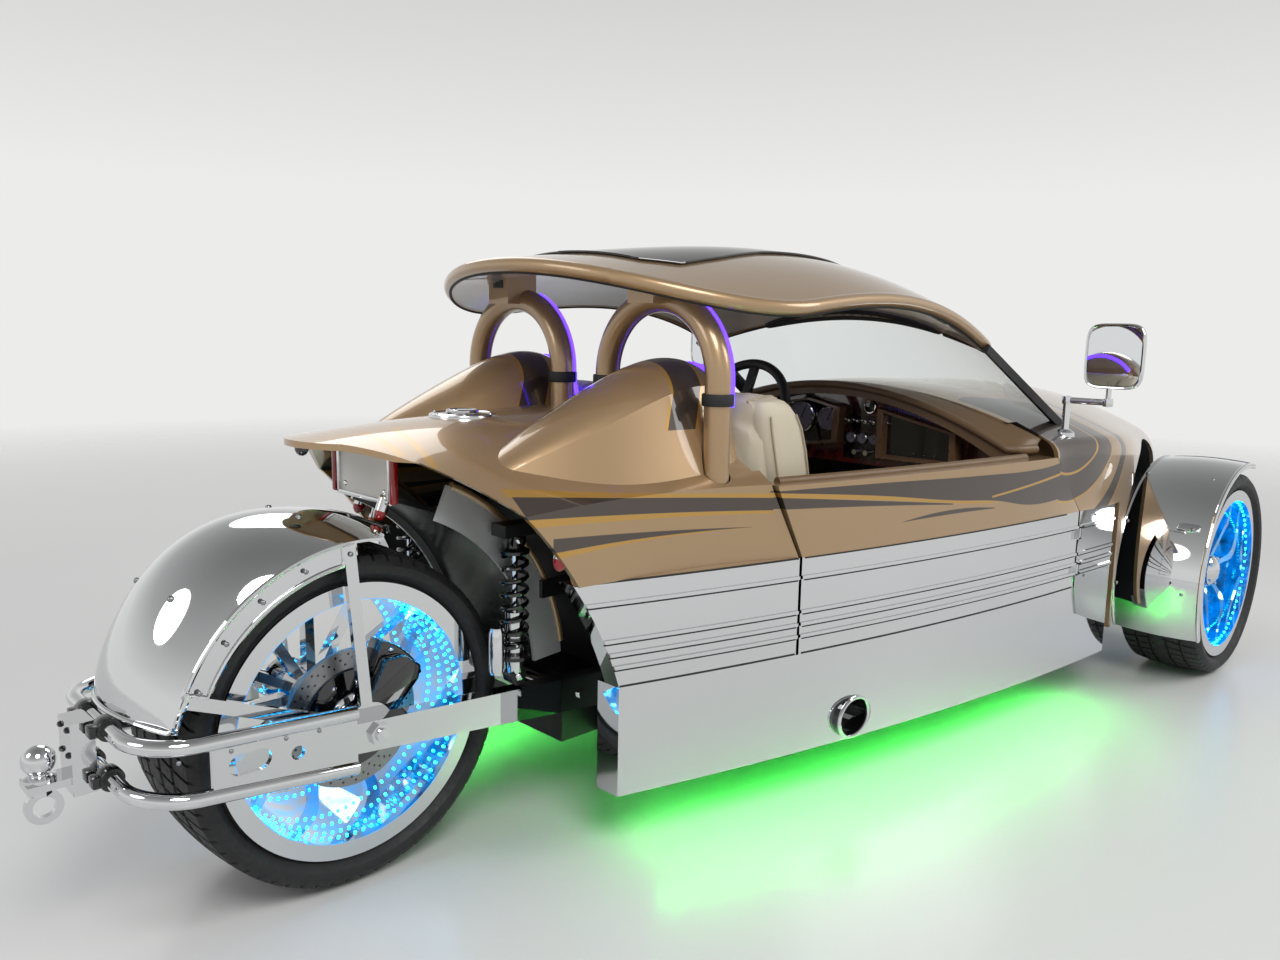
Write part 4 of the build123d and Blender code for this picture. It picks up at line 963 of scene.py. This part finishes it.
def make_shocks():
    """Coil springs over chrome bodies with a reservoir, between rubber mounts."""
    coils, bodies, dark = bmesh.new(), bmesh.new(), bmesh.new()
    x = 0.308
    windings, steps, coil_radius, coil_foot, coil_lift = 7.5, 20, 0.0245, 0.392, 0.196
    for side in (-1, 1):
        y = side * 0.19
        coil = []
        for i in range(int(windings * steps) + 1):
            lift = coil_foot + coil_lift * i / (windings * steps)
            coil.append(at(x, y, lift) + swung(coil_radius, 2 * pi * i / steps, 0.0, "Z"))
        tube(coils, coil, 0.0048, 8)
        lathe(bodies, at(x, y, 0.345), ((0.0, 0.0), (0.013, 0.0), (0.018, 0.012), (0.018, 0.13),
                                        (0.0, 0.13)), 32, "Z")
        lathe(bodies, at(x, y, 0.475), collar(0.0, 0.0065, 0.0, 0.12), 20, "Z")
        lathe(bodies, at(x - 0.043, y, 0.355), ((0.0, 0.0), (0.014, 0.002), (0.016, 0.01), (0.016, 0.085),
                                                (0.013, 0.095), (0.0, 0.097)), 28, "Z")
        lathe(dark, at(x, y, 0.38), collar(0.017, 0.03, 0.0, 0.007), 32, "Z")
        lathe(dark, at(x, y, 0.592), ((0.005, 0.0), (0.03, 0.0), (0.03, 0.006), (0.02, 0.012), (0.018, 0.034),
                                      (0.005, 0.034)), 32, "Z")
        for level in (0.408, 0.418, 0.428):
            lathe(dark, at(x, y, level), collar(0.0175, 0.0205, 0.0, 0.005), 32, "Z")
        for level in (0.345, 0.618):
            lathe(dark, at(x, y - 0.014, level), collar(0.008, 0.018, 0.0, 0.028), 28)
            dome(bodies, at(x, y + side * 0.0155, level), (0, side, 0), 0.0095, 0.006, 6, 3)
    made = piece("shock_springs", coils, gloss_black)
    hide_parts("shocks")
    piece("shock_bodies", bodies, chrome)
    piece("shock_mounts", dark, black_paint)


make_shocks()


def upright_plate(bm, points, y0, y1, edge):
    """Upright lengthwise plate from stations and heights, with eased edges."""
    face = bm.faces.new([bm.verts.new(at(x, y0, z)) for x, z in points])
    made = bmesh.ops.extrude_face_region(bm, geom=[face])
    moved = [v for v in made["geom"] if isinstance(v, bmesh.types.BMVert)]
    bmesh.ops.translate(bm, vec=(0, y1 - y0, 0), verts=moved)
    edges = list({e for v in moved + list(face.verts) for e in v.link_edges})
    bmesh.ops.bevel(bm, geom=edges, offset=edge, segments=2, profile=0.5, affect="EDGES")


def arc(radius, start, end, steps):
    """Stations and heights on an arc round the rear axle, in degrees from straight ahead."""
    angles = [radians(start + (end - start) * i / steps) for i in range(steps + 1)]
    return [(radius * cos(angle), rear_hub.z + radius * sin(angle)) for angle in angles]


# Rear brake and axle, in place of the plain CAD shapes
caliper_outside, caliper_inside = -0.131, -0.0865
bm = bmesh.new()
upright_plate(bm, arc(0.15, 24, 70, 8) + arc(0.088, 70, 24, 6), caliper_outside, caliper_inside, 0.005)
carrier = arc(0.036, 95, 300, 10) + [(0.04, 0.30), (0.112, 0.375), (0.118, 0.4), (0.085, 0.425),
                                     (0.045, 0.425), (0.01, 0.36)]
upright_plate(bm, carrier, -0.157, -0.133, 0.004)
made = piece("rear_brake", bm, gloss_black)
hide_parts("rear_axle")
bm = bmesh.new()
lathe(bm, rear_hub, collar(0.0, 0.0148, -0.17, 0.17), 32)
for side in (-1, 1):
    tube(bm, [at(0, side * y, rear_hub.z) for y in (0.2042, 0.214)], 0.021, 6)
    end = ((0.0, 0.214), (0.0125, 0.214), (0.012, 0.22), (0.0, 0.221))
    lathe(bm, rear_hub, [(radius, side * off) for radius, off in end], 24)
    for x, z in ((0.316, 0.312), (0.47, 0.27)):
        tube(bm, [at(x, side * y, z) for y in (0.2042, 0.21)], 0.0105, 6)
for radius in (0.1, 0.138):
    studs(bm, rear_hub, radius, caliper_outside, (radians(34), radians(60)), bolt_head)
piece("rear_axle_bolts", bm, chrome)

# Hub carrier on the disc, with rivets, and the hub's flanges and bolts on both sides
bm = bmesh.new()
lathe(bm, rear_hub, ((0.052, -0.1084), (0.094, -0.1084), (0.092, -0.1125), (0.056, -0.116),
                     (0.05, -0.116)), 72)
for k, radius in enumerate((0.104, 0.114, 0.122)):
    studs(bm, rear_hub, radius, -0.1079, [turn + k * 0.07 for turn in turns(30)], (0.0032, 0.0005), (8, 1))
piece("rear_disc_carrier", bm, gloss_black, "rear_wheel")
bm = bmesh.new()
lathe(bm, rear_hub, ((0.02, -0.119), (0.034, -0.119), (0.046, -0.112), (0.046, -0.105), (0.02, -0.105)), 48)
lathe(bm, rear_hub, ((0.02, 0.092), (0.047, 0.092), (0.046, 0.097), (0.034, 0.108), (0.02, 0.108)), 48)
studs(bm, rear_hub, 0.074, -0.1118, turns(6), (0.007, 0.006), hexagon)
studs(bm, rear_hub, 0.034, 0.104, turns(5), (0.006, 0.007), hexagon)
piece("rear_hub_bolts", bm, chrome, "rear_wheel")
for hand, side in sides.items():
    bm = bmesh.new()
    hub = front_hubs[hand]
    cap = ((0.0, 0.0495), (0.047, 0.0495), (0.047, 0.056), (0.036, 0.066), (0.02, 0.074), (0.0, 0.077))
    lathe(bm, hub, [(radius, side * off) for radius, off in cap], 48)
    studs(bm, hub, 0.041, side * 0.06, turns(5), (0.006, 0.009), hexagon)
    piece(f"{hand}_hub_cap", bm, chrome, f"{hand}_front_wheel")


def tree_of(data):
    """Search tree over a mesh."""
    return BVHTree.FromPolygons([v.co for v in data.vertices], [q.vertices for q in data.polygons])


# Bolts on the fenders
stay_angles = [radians(angle) for angle in range(95, 156, 15)]
bm = bmesh.new()
fender_surface = tree_of(nodes["rear_fender"].data)
for side in (-1, 1):
    for x, y, z in ((-0.064, 0.075, 0.76), (-0.34, 0.1, 0.62)):
        place, normal, _, _ = fender_surface.find_nearest(at(x, side * y, z))
        dome(bm, place, normal, *bolt_head)
    studs(bm, rear_hub, 0.322, side * 0.172, stay_angles, (0.0045, 0.003))
    for x in (0.012, 0.07, 0.16, 0.24):
        dome(bm, at(-0.1 - x, side * 0.205, 0.349 + 0.05 * x), (0, side, 0), *small_bolt)
piece("fender_bolts", bm, steel)
for hand, side in sides.items():
    bm = bmesh.new()
    hub = front_hubs[hand]
    for angle in (118, 150, 182):
        outward = swung(1.0, radians(angle))
        for y in (0.632, 0.812):
            dome(bm, Vector((hub.x, side * y, hub.z)) + outward * 0.3405, outward, *bolt_head)
    piece(f"{hand}_fender_bolts", bm, steel, f"{hand}_corner")

# Hitch: dark clamps on the loops with bolt heads, and a bright flange with a nut under the ball
bm = bmesh.new()
for side in (-1, 1):
    for level in (0.384, 0.3):
        lathe(bm, at(-0.393, side * 0.048, level), clamp(0.0132, 0.0195, 0.014), 32)
        block(bm, at(-0.412, side * 0.048, level), (0.02, 0.024, 0.02), 0.003)
    for level in (0.3, 0.342, 0.384):
        dome(bm, at(-0.4425, side * 0.018, level), backward, *bolt_head, *hexagon)
piece("hitch_clamps", bm, black_paint)
bm = bmesh.new()
ball_x = -0.481
lathe(bm, at(ball_x, 0, 0.307), ((0.0, 0.0), (0.024, 0.0), (0.024, 0.006), (0.017, 0.009),
                                 (0.0145, 0.009)), 40, "Z")
tube(bm, [at(ball_x, 0, z) for z in (0.2835, 0.2945)], 0.017, 6)
piece("ball_flange", bm, chrome)

# Mirrors: rounded heads on bright posts, in place of the plain CAD shapes
mirror_x, mirror_y, mirror_z = 1.85, 0.705, 0.975
mirror_wide, mirror_tall = 0.0745, 0.0845
foot_y, neck_y = 0.59, 0.696
head_shape = ((-0.009, 0.9), (-0.014, 0.93), (-0.0148, 0.965), (-0.012, 0.99), (-0.004, 1.0), (0.004, 0.985),
              (0.010, 0.94), (0.0135, 0.85), (0.0148, 0.6))


def mirror_rings(side, shape):
    """Rounded rectangles across the car, from stations off the mirror's middle and shares of its size."""
    centre = at(mirror_x, side * mirror_y, mirror_z)
    outline = [squared(turn, 0.42) for turn in turns(48)]
    return [[centre + Vector((off, share * mirror_wide * wide, share * mirror_tall * tall))
             for wide, tall in outline] for off, share in shape]


heads, glasses, posts = bmesh.new(), bmesh.new(), bmesh.new()
for side in (-1, 1):
    skin(heads, mirror_rings(side, head_shape))
    skin(glasses, mirror_rings(side, ((-0.0095, 0.9), (-0.0102, 0.899))))
    for radius, *ends in ((0.0095, (foot_y, 0.752), (foot_y, 0.862)),
                          (0.0085, (0.585, 0.855), (0.701, 0.855)),
                          (0.007, (neck_y, 0.85), (neck_y, 0.893))):
        tube(posts, [at(mirror_x, side * y, z) for y, z in ends], radius, 20)
    lathe(posts, at(mirror_x, side * foot_y, 0.757), ((0.0, 0.0), (0.026, 0.0), (0.024, 0.012), (0.013, 0.02),
                                                      (0.0, 0.02)), 32, "Z")
    for y in (foot_y, neck_y):
        lathe(posts, at(mirror_x, side * y, 0.843), ((0.0, 0.0), (0.0125, 0.002), (0.0135, 0.01),
                                                     (0.0125, 0.022), (0.0, 0.024)), 28, "Z")
made = piece("mirror_heads", heads, chrome)
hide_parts("mirrors")
piece("mirror_glasses", glasses, finish("mirror_glass", (0.8, 0.82, 0.84), 0.01, 1.0, rough_spread=0.0))
piece("mirror_posts", posts, chrome)

# Dash: instrument pod, dials, switches and the screen in its frame
panel_x, frame_x, button_x, pod_dial_x = 1.669, 1.632, 1.666, 1.664


def scaled(outline, share, x):
    """Outline of (y, z) points at a station, scaled about its middle."""
    cy, cz = (sum(values) / len(outline) for values in zip(*outline))
    return [at(x, cy + (y - cy) * share, cz + (z - cz) * share) for y, z in outline]


def frame_ring(bm, outline, inner, lean=0.0):
    """Frame with a slanted inner side."""
    places = ((1.0, panel_x), (1.0, frame_x + 0.003), (0.985, frame_x), (inner + 0.02, frame_x),
              (inner, frame_x + 0.003), (inner - lean, panel_x))
    skin(bm, [scaled(outline, share, x) for share, x in places], "loop")


def flat_panel(bm, outline, x, share=1.0, thick=0.002):
    """Thin panel inside an outline."""
    skin(bm, [scaled(outline, share, x), scaled(outline, share, x - thick)])


pod = ((-0.014, 0.806), (0.09, 0.827), (0.24, 0.803), (0.4, 0.75), (0.462, 0.722), (0.44, 0.684),
       (0.1, 0.684), (-0.008, 0.7))
screen = ((-0.142, 0.812), (-0.39, 0.76), (-0.39, 0.668), (-0.142, 0.668))
switch_row = ((-0.022, 0.785), (-0.176, 0.785), (-0.176, 0.745), (-0.022, 0.745))
small_dials = ((-0.012, 0.736), (-0.132, 0.736), (-0.132, 0.655), (-0.012, 0.655))
wood, dark, bright, faces = (bmesh.new() for _ in range(4))
frame_ring(wood, pod, 0.9)
frame_ring(wood, screen, 0.84, 0.03)
flat_panel(dark, pod, panel_x, 0.9)
flat_panel(dark, screen, 1.662, 0.83, 0.004)
flat_panel(dark, switch_row, panel_x)
flat_panel(dark, small_dials, panel_x)


def dial(y, z, radius, x):
    """Round dial: bright bezel, pale face, ticks and a pointer."""
    place = at(x, y, z)
    bezel = ((1.0, 0.0), (1.1, -0.001), (1.1, -0.007), (1.03, -0.008), (1.0, -0.005))
    lathe(bright, place, [(radius * share, off) for share, off in bezel], 48, "X")
    lathe(faces, place, collar(0.0, radius, -0.001, -0.003), 48, "X")
    # Angle, place along the radius, length, width and height over the face
    ticks = [(-40 + 26 * i, 0.84, 0.18, 0.04, 0.0032) for i in range(11)]
    pointer = (118, 0.34, 0.8, 0.05, 0.004)
    for angle, out, long, wide, lift in ticks + [pointer]:
        turn = radians(angle)
        block(dark, place + swung(radius * out, turn, -lift, "X"), (0.0006, radius * long, radius * wide), 0,
              Matrix.Rotation(turn, 4, "X"))
    dome(dark, at(x - 0.003, y, z), backward, radius * 0.1, 0.003)


pod_dials = ((0.045, 0.765, 0.032), (0.142, 0.766, 0.044), (0.258, 0.745, 0.044), (0.362, 0.722, 0.03))
for y, z, radius in pod_dials:
    dial(y, z, radius, pod_dial_x)
for y in (-0.041, -0.079, -0.118):
    dial(y, 0.717, 0.0145, button_x)
switch_z = 0.765
for i in range(6):
    y = -0.028 - 0.0284 * i
    lathe(bright, at(button_x, y, switch_z), collar(0.0, 0.006, 0.0, -0.005), 6, "X")
    tube(bright, [at(1.662, y, switch_z), at(1.648, y, 0.77)], 0.0026, 10)
    dome(bright, at(1.649, y, 0.7696), (-1, 0, 0.35), 0.0038, 0.005)
for y in (-0.06, -0.098):
    lathe(bright, at(button_x, y, 0.676), ((0.0, 0.0), (0.009, 0.0), (0.008, -0.016), (0.0, -0.016)), 24, "X")
clock_y, clock_z = -0.098, 0.81
tube(bright, circle(at(pod_dial_x, clock_y, clock_z), 0.018, 28, "X"), 0.0026, 8, closed=True)
lathe(dark, at(1.667, clock_y, clock_z), ((0.0, 0.0), (0.015, 0.0), (0.014, -0.005), (0.0, -0.006)), 28, "X")
for i in range(5):
    dome(dark, at(1.656, -0.19 - 0.032 * i, 0.688), backward, 0.004, 0.002)
piece("dash_frames", wood, wood_trim)
piece("dash_dark_panels", dark, screen_glass)
piece("dash_switches", bright, chrome)
piece("dash_dials", faces, dial_face)

# Hood along the dash's rear edge: its top up to the cowl's rim, the cheeks beside it and the roll
cowl = tree_of(nodes["nose"].data)


def cowl_top(y):
    """Height of the cowl's rim at a distance from the middle."""
    return cowl.ray_cast(at(1.775, y, 1.3), Vector(downward))[0].z


hood_half, flat_half = 0.585, 0.545
roll, rings = [], []
for i in range(121):
    y = hood_half * (1 - i / 60)
    past = max(0.0, (abs(y) - flat_half) / 0.04)
    a = at(1.612 + 0.08 * past * past, y, 0.872 - 0.1403 * (min(abs(y), flat_half) / 0.55) ** 2)
    b = at(1.7165, y, cowl_top(y) - 0.006)
    half = a.lerp(b, 0.5)
    roll.append(a)
    rings.append([a, half + up(0.006), b, b - up(0.004), half + up(0.002), a - up(0.004)])
bm = bmesh.new()
skin(bm, rings)
piece("dash_hood_top", bm, hood_leather)
bm = bmesh.new()
for side in (-1, 1):
    rings = []
    for y in (side * (0.44 + 0.015 * i) for i in range(12)):
        low, top = 0.66, cowl_top(y) - 0.0055
        rings.append([at(x, y, z) for x, z in ((1.763, low), (1.763, top), (1.767, top), (1.767, low))])
    skin(bm, rings)
piece("cowl_cheeks", bm, hood_leather)
bm = bmesh.new()
tube(bm, roll, 0.011, 14)
piece("dash_hood_roll", bm, hood_leather)

# Steering wheel: horn pad and bright spoke plates
column_tilt = radians(24)
column = Vector((-cos(column_tilt), 0, sin(column_tilt)))
wheel_spot = at(1.48, 0.24, 0.772)
bm = bmesh.new()
dome(bm, wheel_spot + column * 0.004, column, 0.05, 0.022, 40, 8)
piece("horn_pad", bm, black_plastic, "steering_wheel")
bm = bmesh.new()
across = Vector((0, 1, 0))
for direction in (across, -across, column.cross(across)):
    tube(bm, [wheel_spot + column * 0.0055 + direction * d for d in (0.05, 0.09, 0.135)], 0.006, 10)
    for d in (0.075, 0.11):
        dome(bm, wheel_spot + column * 0.0105 + direction * d, column, 0.004, 0.002)
piece("spoke_trims", bm, satin_chrome, "steering_wheel")

# Console: selector lever, cup rings and a hand rest
console_top, selector_x = 0.398, 1.42
bm = bmesh.new()
tube(bm, [at(selector_x, 0, console_top), at(1.41, 0, 0.45), at(1.4, 0, 0.5)], 0.006, 14)
for x in (1.18, 1.08):
    tube(bm, circle(at(x, 0, console_top + 0.003), 0.034, 32, "Z"), 0.003, 8, closed=True)
piece("console_brightwork", bm, chrome)
bm = bmesh.new()
dome(bm, at(1.4, 0, 0.49), (-0.1, 0, 1), 0.018, 0.03, 24, 8)
boot = ((0.0, 0.0), (0.034, 0.0), (0.03, 0.012), (0.01, 0.026), (0.0, 0.026))
lathe(bm, at(selector_x, 0, console_top), boot, 28, "Z")
block(bm, at(0.93, 0, console_top + 0.014), (0.2, 0.084, 0.028), 0.012, None, 4)
piece("selector_knob", bm, black_plastic)

# Pedals under the dash, driver's side
pedal_tilt = Matrix.Rotation(radians(-32), 4, "Y")
bm = bmesh.new()
for y, wide in ((0.2, 0.05), (0.3, 0.085)):
    block(bm, at(1.86, y, 0.29), (0.012, wide, 0.075), 0.004, pedal_tilt)
    tube(bm, [at(1.868, y, 0.3), at(1.93, y, 0.42), at(2.045, y, 0.5)], 0.007, 10)
piece("pedals", bm, black_plastic)

# Slots in the saddles on the hoops, and the windshield's seal
bm = bmesh.new()
for side in (-1, 1):
    block(bm, at(0.5875, side * hoop_y, 1.128), (0.004, 0.036, 0.03), 0.001)
piece("saddle_slots", bm, black_plastic)
edge_tubes("windshield_seal", "windshield", black_rubber_and_painted_shade, 0.009,
           lambda mid, normals: mid.z > 0.95 and mid.x < ahead(1.72), shortest=0.1, rounds=24)

# Light strips under the sills
sill_start, sill_length, sill_under, strip_under = 0.52, 1.42, 0.1297, 0.127
bm = bmesh.new()
for side in (-1, 1):
    rings = []
    for x in (sill_start + sill_length * i / 30 for i in range(31)):
        inner, outer = side * (side_y(x) - 0.035), side * (side_y(x) - 0.025)
        corners = ((inner, sill_under), (outer, sill_under), (outer, strip_under), (inner, strip_under))
        rings.append([at(x, y, z) for y, z in corners])
    skin(bm, rings)
piece("underglow_strips", bm, green_light)

# Headlamps: bright bezels round the lenses; dark mesh behind the grille
edge_tubes("headlamp_bezels", "headlamps", chrome, 0.0065, any_edge, shortest=0.2)
bm = bmesh.new()
block(bm, at(3.15, 0, 0.385), (0.002, 0.38, 0.25), 0)
piece("grille_mesh", bm, black_plastic)

# Seats: cloth inflated over the CAD cushion's form, then wings and seams

# Height of the held foot, depth of the cross seam under the middle, and the long seams' distances from it
held_foot, cross_seam, outer_seam, inner_seam = 0.19, 0.165, 0.155, 0.095
seam_half = 0.006
most_puff = 0.016
slimmer = (0.985, 0.955, 0.985)


def take(obj):
    """Apply an object's modifiers to its mesh."""
    graph = bpy.context.evaluated_depsgraph_get()
    done = bpy.data.meshes.new_from_object(obj.evaluated_get(graph))
    obj.modifiers.clear()
    obj.data = done


def puff(pad, centre):
    """Fine cells and a cloth simulation under pressure, held along the seams so that the panels puff."""
    cells = pad.modifiers.new("cells", "REMESH")
    cells.mode = "VOXEL"
    cells.voxel_size = 0.008
    cells.use_smooth_shade = True
    take(pad)
    rest = [v.co.copy() for v in pad.data.vertices]
    held = pad.vertex_groups.new(name="held")
    for v in pad.data.vertices:
        height = v.co.z - centre.z
        wide = abs(v.co.y - centre.y)
        if abs(height + cross_seam) < seam_half or v.co.z < held_foot or abs(wide - inner_seam) < seam_half:
            held.add([v.index], 1.0, "REPLACE")
    cloth = pad.modifiers.new("cloth", "CLOTH")
    cloth.settings.quality = 4
    cloth.settings.use_pressure = True
    cloth.settings.uniform_pressure_force = 4.0
    cloth.settings.effector_weights.gravity = 0.0
    cloth.settings.vertex_group_mass = "held"
    for number in range(1, 21):
        scene.frame_set(number)
    take(pad)
    scene.frame_set(1)
    for v, start in zip(pad.data.vertices, rest):
        moved = v.co - start
        if moved.length > most_puff:
            v.co = start + moved.normalized() * most_puff


def seat_wings(seams):
    """Padded wings along both sides of each backrest, with their piping added to the seams."""
    # Height, rear and front stations, and share of the width
    wing = ((0.49, 0.864, 0.985, 0.72), (0.53, 0.853, 0.978, 0.95), (0.6, 0.835, 0.966, 1.0),
            (0.66, 0.819, 0.957, 1.0), (0.715, 0.805, 0.948, 1.0), (0.77, 0.791, 0.935, 1.0),
            (0.82, 0.778, 0.916, 1.0), (0.85, 0.772, 0.896, 0.97), (0.868, 0.772, 0.878, 0.88),
            (0.879, 0.778, 0.862, 0.72), (0.884, 0.79, 0.846, 0.45))
    wings = bmesh.new()
    for side in (-1, 1):
        for y, half in ((0.386, 0.04), (0.098, 0.034)):
            rings = []
            for z, rear, front, share in wing:
                ring = []
                for out, over in (squared(turn, 0.62) for turn in turns(40)):
                    x = (front + rear) / 2 + (front - rear) / 2 * out
                    ring.append(at(x, side * (y + half * share * over), z))
                rings.append(ring)
            skin(wings, rings)
            rear_line, front_line = side * (y + half * 0.97), side * (y + half * 0.93)
            tube(seams, [at(rear + 0.02, rear_line, z) for z, rear, _, _ in wing[1:8]], 0.0022, 8)
            tube(seams, [at(front - 0.016, front_line, z) for z, _, front, _ in wing[1:8]], 0.0022, 8)
    piece("seat_wings", wings, cream_leather)


def seat_piping(seams, surface, centre):
    """Piping near both sides of each seat, along its profile, laid on the right cushion and mirrored."""
    profile = ((0.757, 0.893), (0.858, 0.897), (0.907, 0.683), (0.955, 0.47), (1.12, 0.46), (1.29, 0.45),
               (1.31, 0.33))
    for off, radius in ((outer_seam, 0.0032), (inner_seam, 0.002)):
        for y in (centre.y - off, centre.y + off):
            line = []
            for a, b in zip(profile, profile[1:]):
                for t in (i / 12 for i in range(12)):
                    probe = at(a[0] + (b[0] - a[0]) * t, y, a[1] + (b[1] - a[1]) * t)
                    found, normal, _, _ = surface.find_nearest(probe)
                    line.append(found + normal * 0.0008)
            line = smoothed(line)
            tube(seams, line, radius, 8)
            tube(seams, [(q.x, -q.y, q.z) for q in line], radius, 8)


def make_seats():
    """Stuffed seats: one is simulated from the CAD form and its copy serves the other side."""
    centre = middle("right_seat")
    data = nodes["right_seat"].data.copy()
    for v in data.vertices:
        v.co = centre + Vector([(v.co[k] - centre[k]) * share for k, share in enumerate(slimmer)])
    pad = bpy.data.objects.new("right_seat_cushion", data)
    scene.collection.objects.link(pad)
    puff(pad, centre)
    pad.data.materials.clear()
    pad.data.materials.append(cream_leather)
    for polygon in pad.data.polygons:
        polygon.use_smooth = True
    other = bpy.data.objects.new("left_seat_cushion", pad.data.copy())
    for v in other.data.vertices:
        v.co.y = -v.co.y
    other.data.flip_normals()
    scene.collection.objects.link(other)
    for obj, hand in ((pad, "right"), (other, "left")):
        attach(obj, "chassis")
        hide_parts(f"{hand}_seat")
    seams = bmesh.new()
    seat_wings(seams)
    seat_piping(seams, tree_of(pad.data), centre)
    piece("seat_piping", seams, stitching)


make_seats()

# Stage
floor_size, fade_start, fade_end = 60, 3.2, 9.0


def make_floor():
    """Pale floor that fades out into the backdrop."""
    bm = bmesh.new()
    bmesh.ops.create_grid(bm, x_segments=1, y_segments=1, size=floor_size)
    data = bpy.data.meshes.new("floor")
    bm.to_mesh(data)
    bm.free()
    floor = bpy.data.objects.new("floor", data)
    scene.collection.objects.link(floor)
    n = Nodes(bpy.data.materials.new("floor"))
    made = n.dress(base_color=(0.72, 0.72, 0.71), roughness=0.28, specular_ior_level=0.35)
    x, y, _ = n.split()
    mixed = n.add("MixShader")
    faded = n.remap(n.length(x, y), fade_start, fade_end, 0.0, 1.0)
    shader = n.tree.nodes["Principled BSDF"].outputs[0]
    for source, socket in zip((faded, shader, n.add("BsdfTransparent").outputs[0]), mixed.inputs):
        n.link(source, socket)
    n.link(mixed.outputs[0], n.tree.nodes["Material Output"].inputs["Surface"])
    data.materials.append(made)


def make_backdrop():
    """Grey studio: what the camera and the mirrors see grows darker upwards, the rest gets an even light."""
    scene.world = bpy.data.worlds.new("studio")
    n = Nodes(scene.world)
    ramp = n.add("ValToRGB")
    stops = ((0.0, 0.74), (0.46, 0.84), (0.56, 0.84), (0.72, 0.5), (1.0, 0.22))
    while len(ramp.color_ramp.elements) < len(stops):
        ramp.color_ramp.elements.new(0.5)
    for element, (place, grey) in zip(ramp.color_ramp.elements, stops):
        element.position = place
        element.color = (grey, grey, grey * 0.99, 1)
    height = n.split(n.add("TexCoord").outputs["Generated"])[2]
    n.link(n.remap(height, -1.0, 1.0, 0.0, 1.0), ramp.inputs[0])
    path = n.add("LightPath").outputs
    seen = n.math("MAXIMUM", n.math("MAXIMUM", path["Is Camera Ray"], path["Is Glossy Ray"]),
                  path["Is Transmission Ray"])
    n.fill(n.tree.nodes["Background"], color=n.blend(seen, (0.42, 0.42, 0.43), ramp.outputs[0]))


# Soft lamps: name, place, size and power; they face a point at the height of the body
lamps = (("key", (-2.5, -3.2, 4.2), 2.4, 120), ("fill", (2.6, -3.6, 3.2), 2.4, 70),
         ("back", (0.6, 3.8, 4.0), 3.0, 46), ("tail", (-5.0, 0.8, 3.0), 2.0, 32))


def make_lamps():
    """Soft round lamps that face the body."""
    for name, place, size, power in lamps:
        lamp = bpy.data.lights.new(name, "AREA")
        lamp.shape = "DISK"
        lamp.size = size
        lamp.energy = power
        obj = bpy.data.objects.new(name, lamp)
        scene.collection.objects.link(obj)
        obj.location = place
        obj.rotation_mode = "QUATERNION"
        obj.rotation_quaternion = (up(0.5) - Vector(place)).to_track_quat("-Z", "Y")


make_floor()
make_backdrop()
make_lamps()
scene.view_settings.view_transform = "Standard"
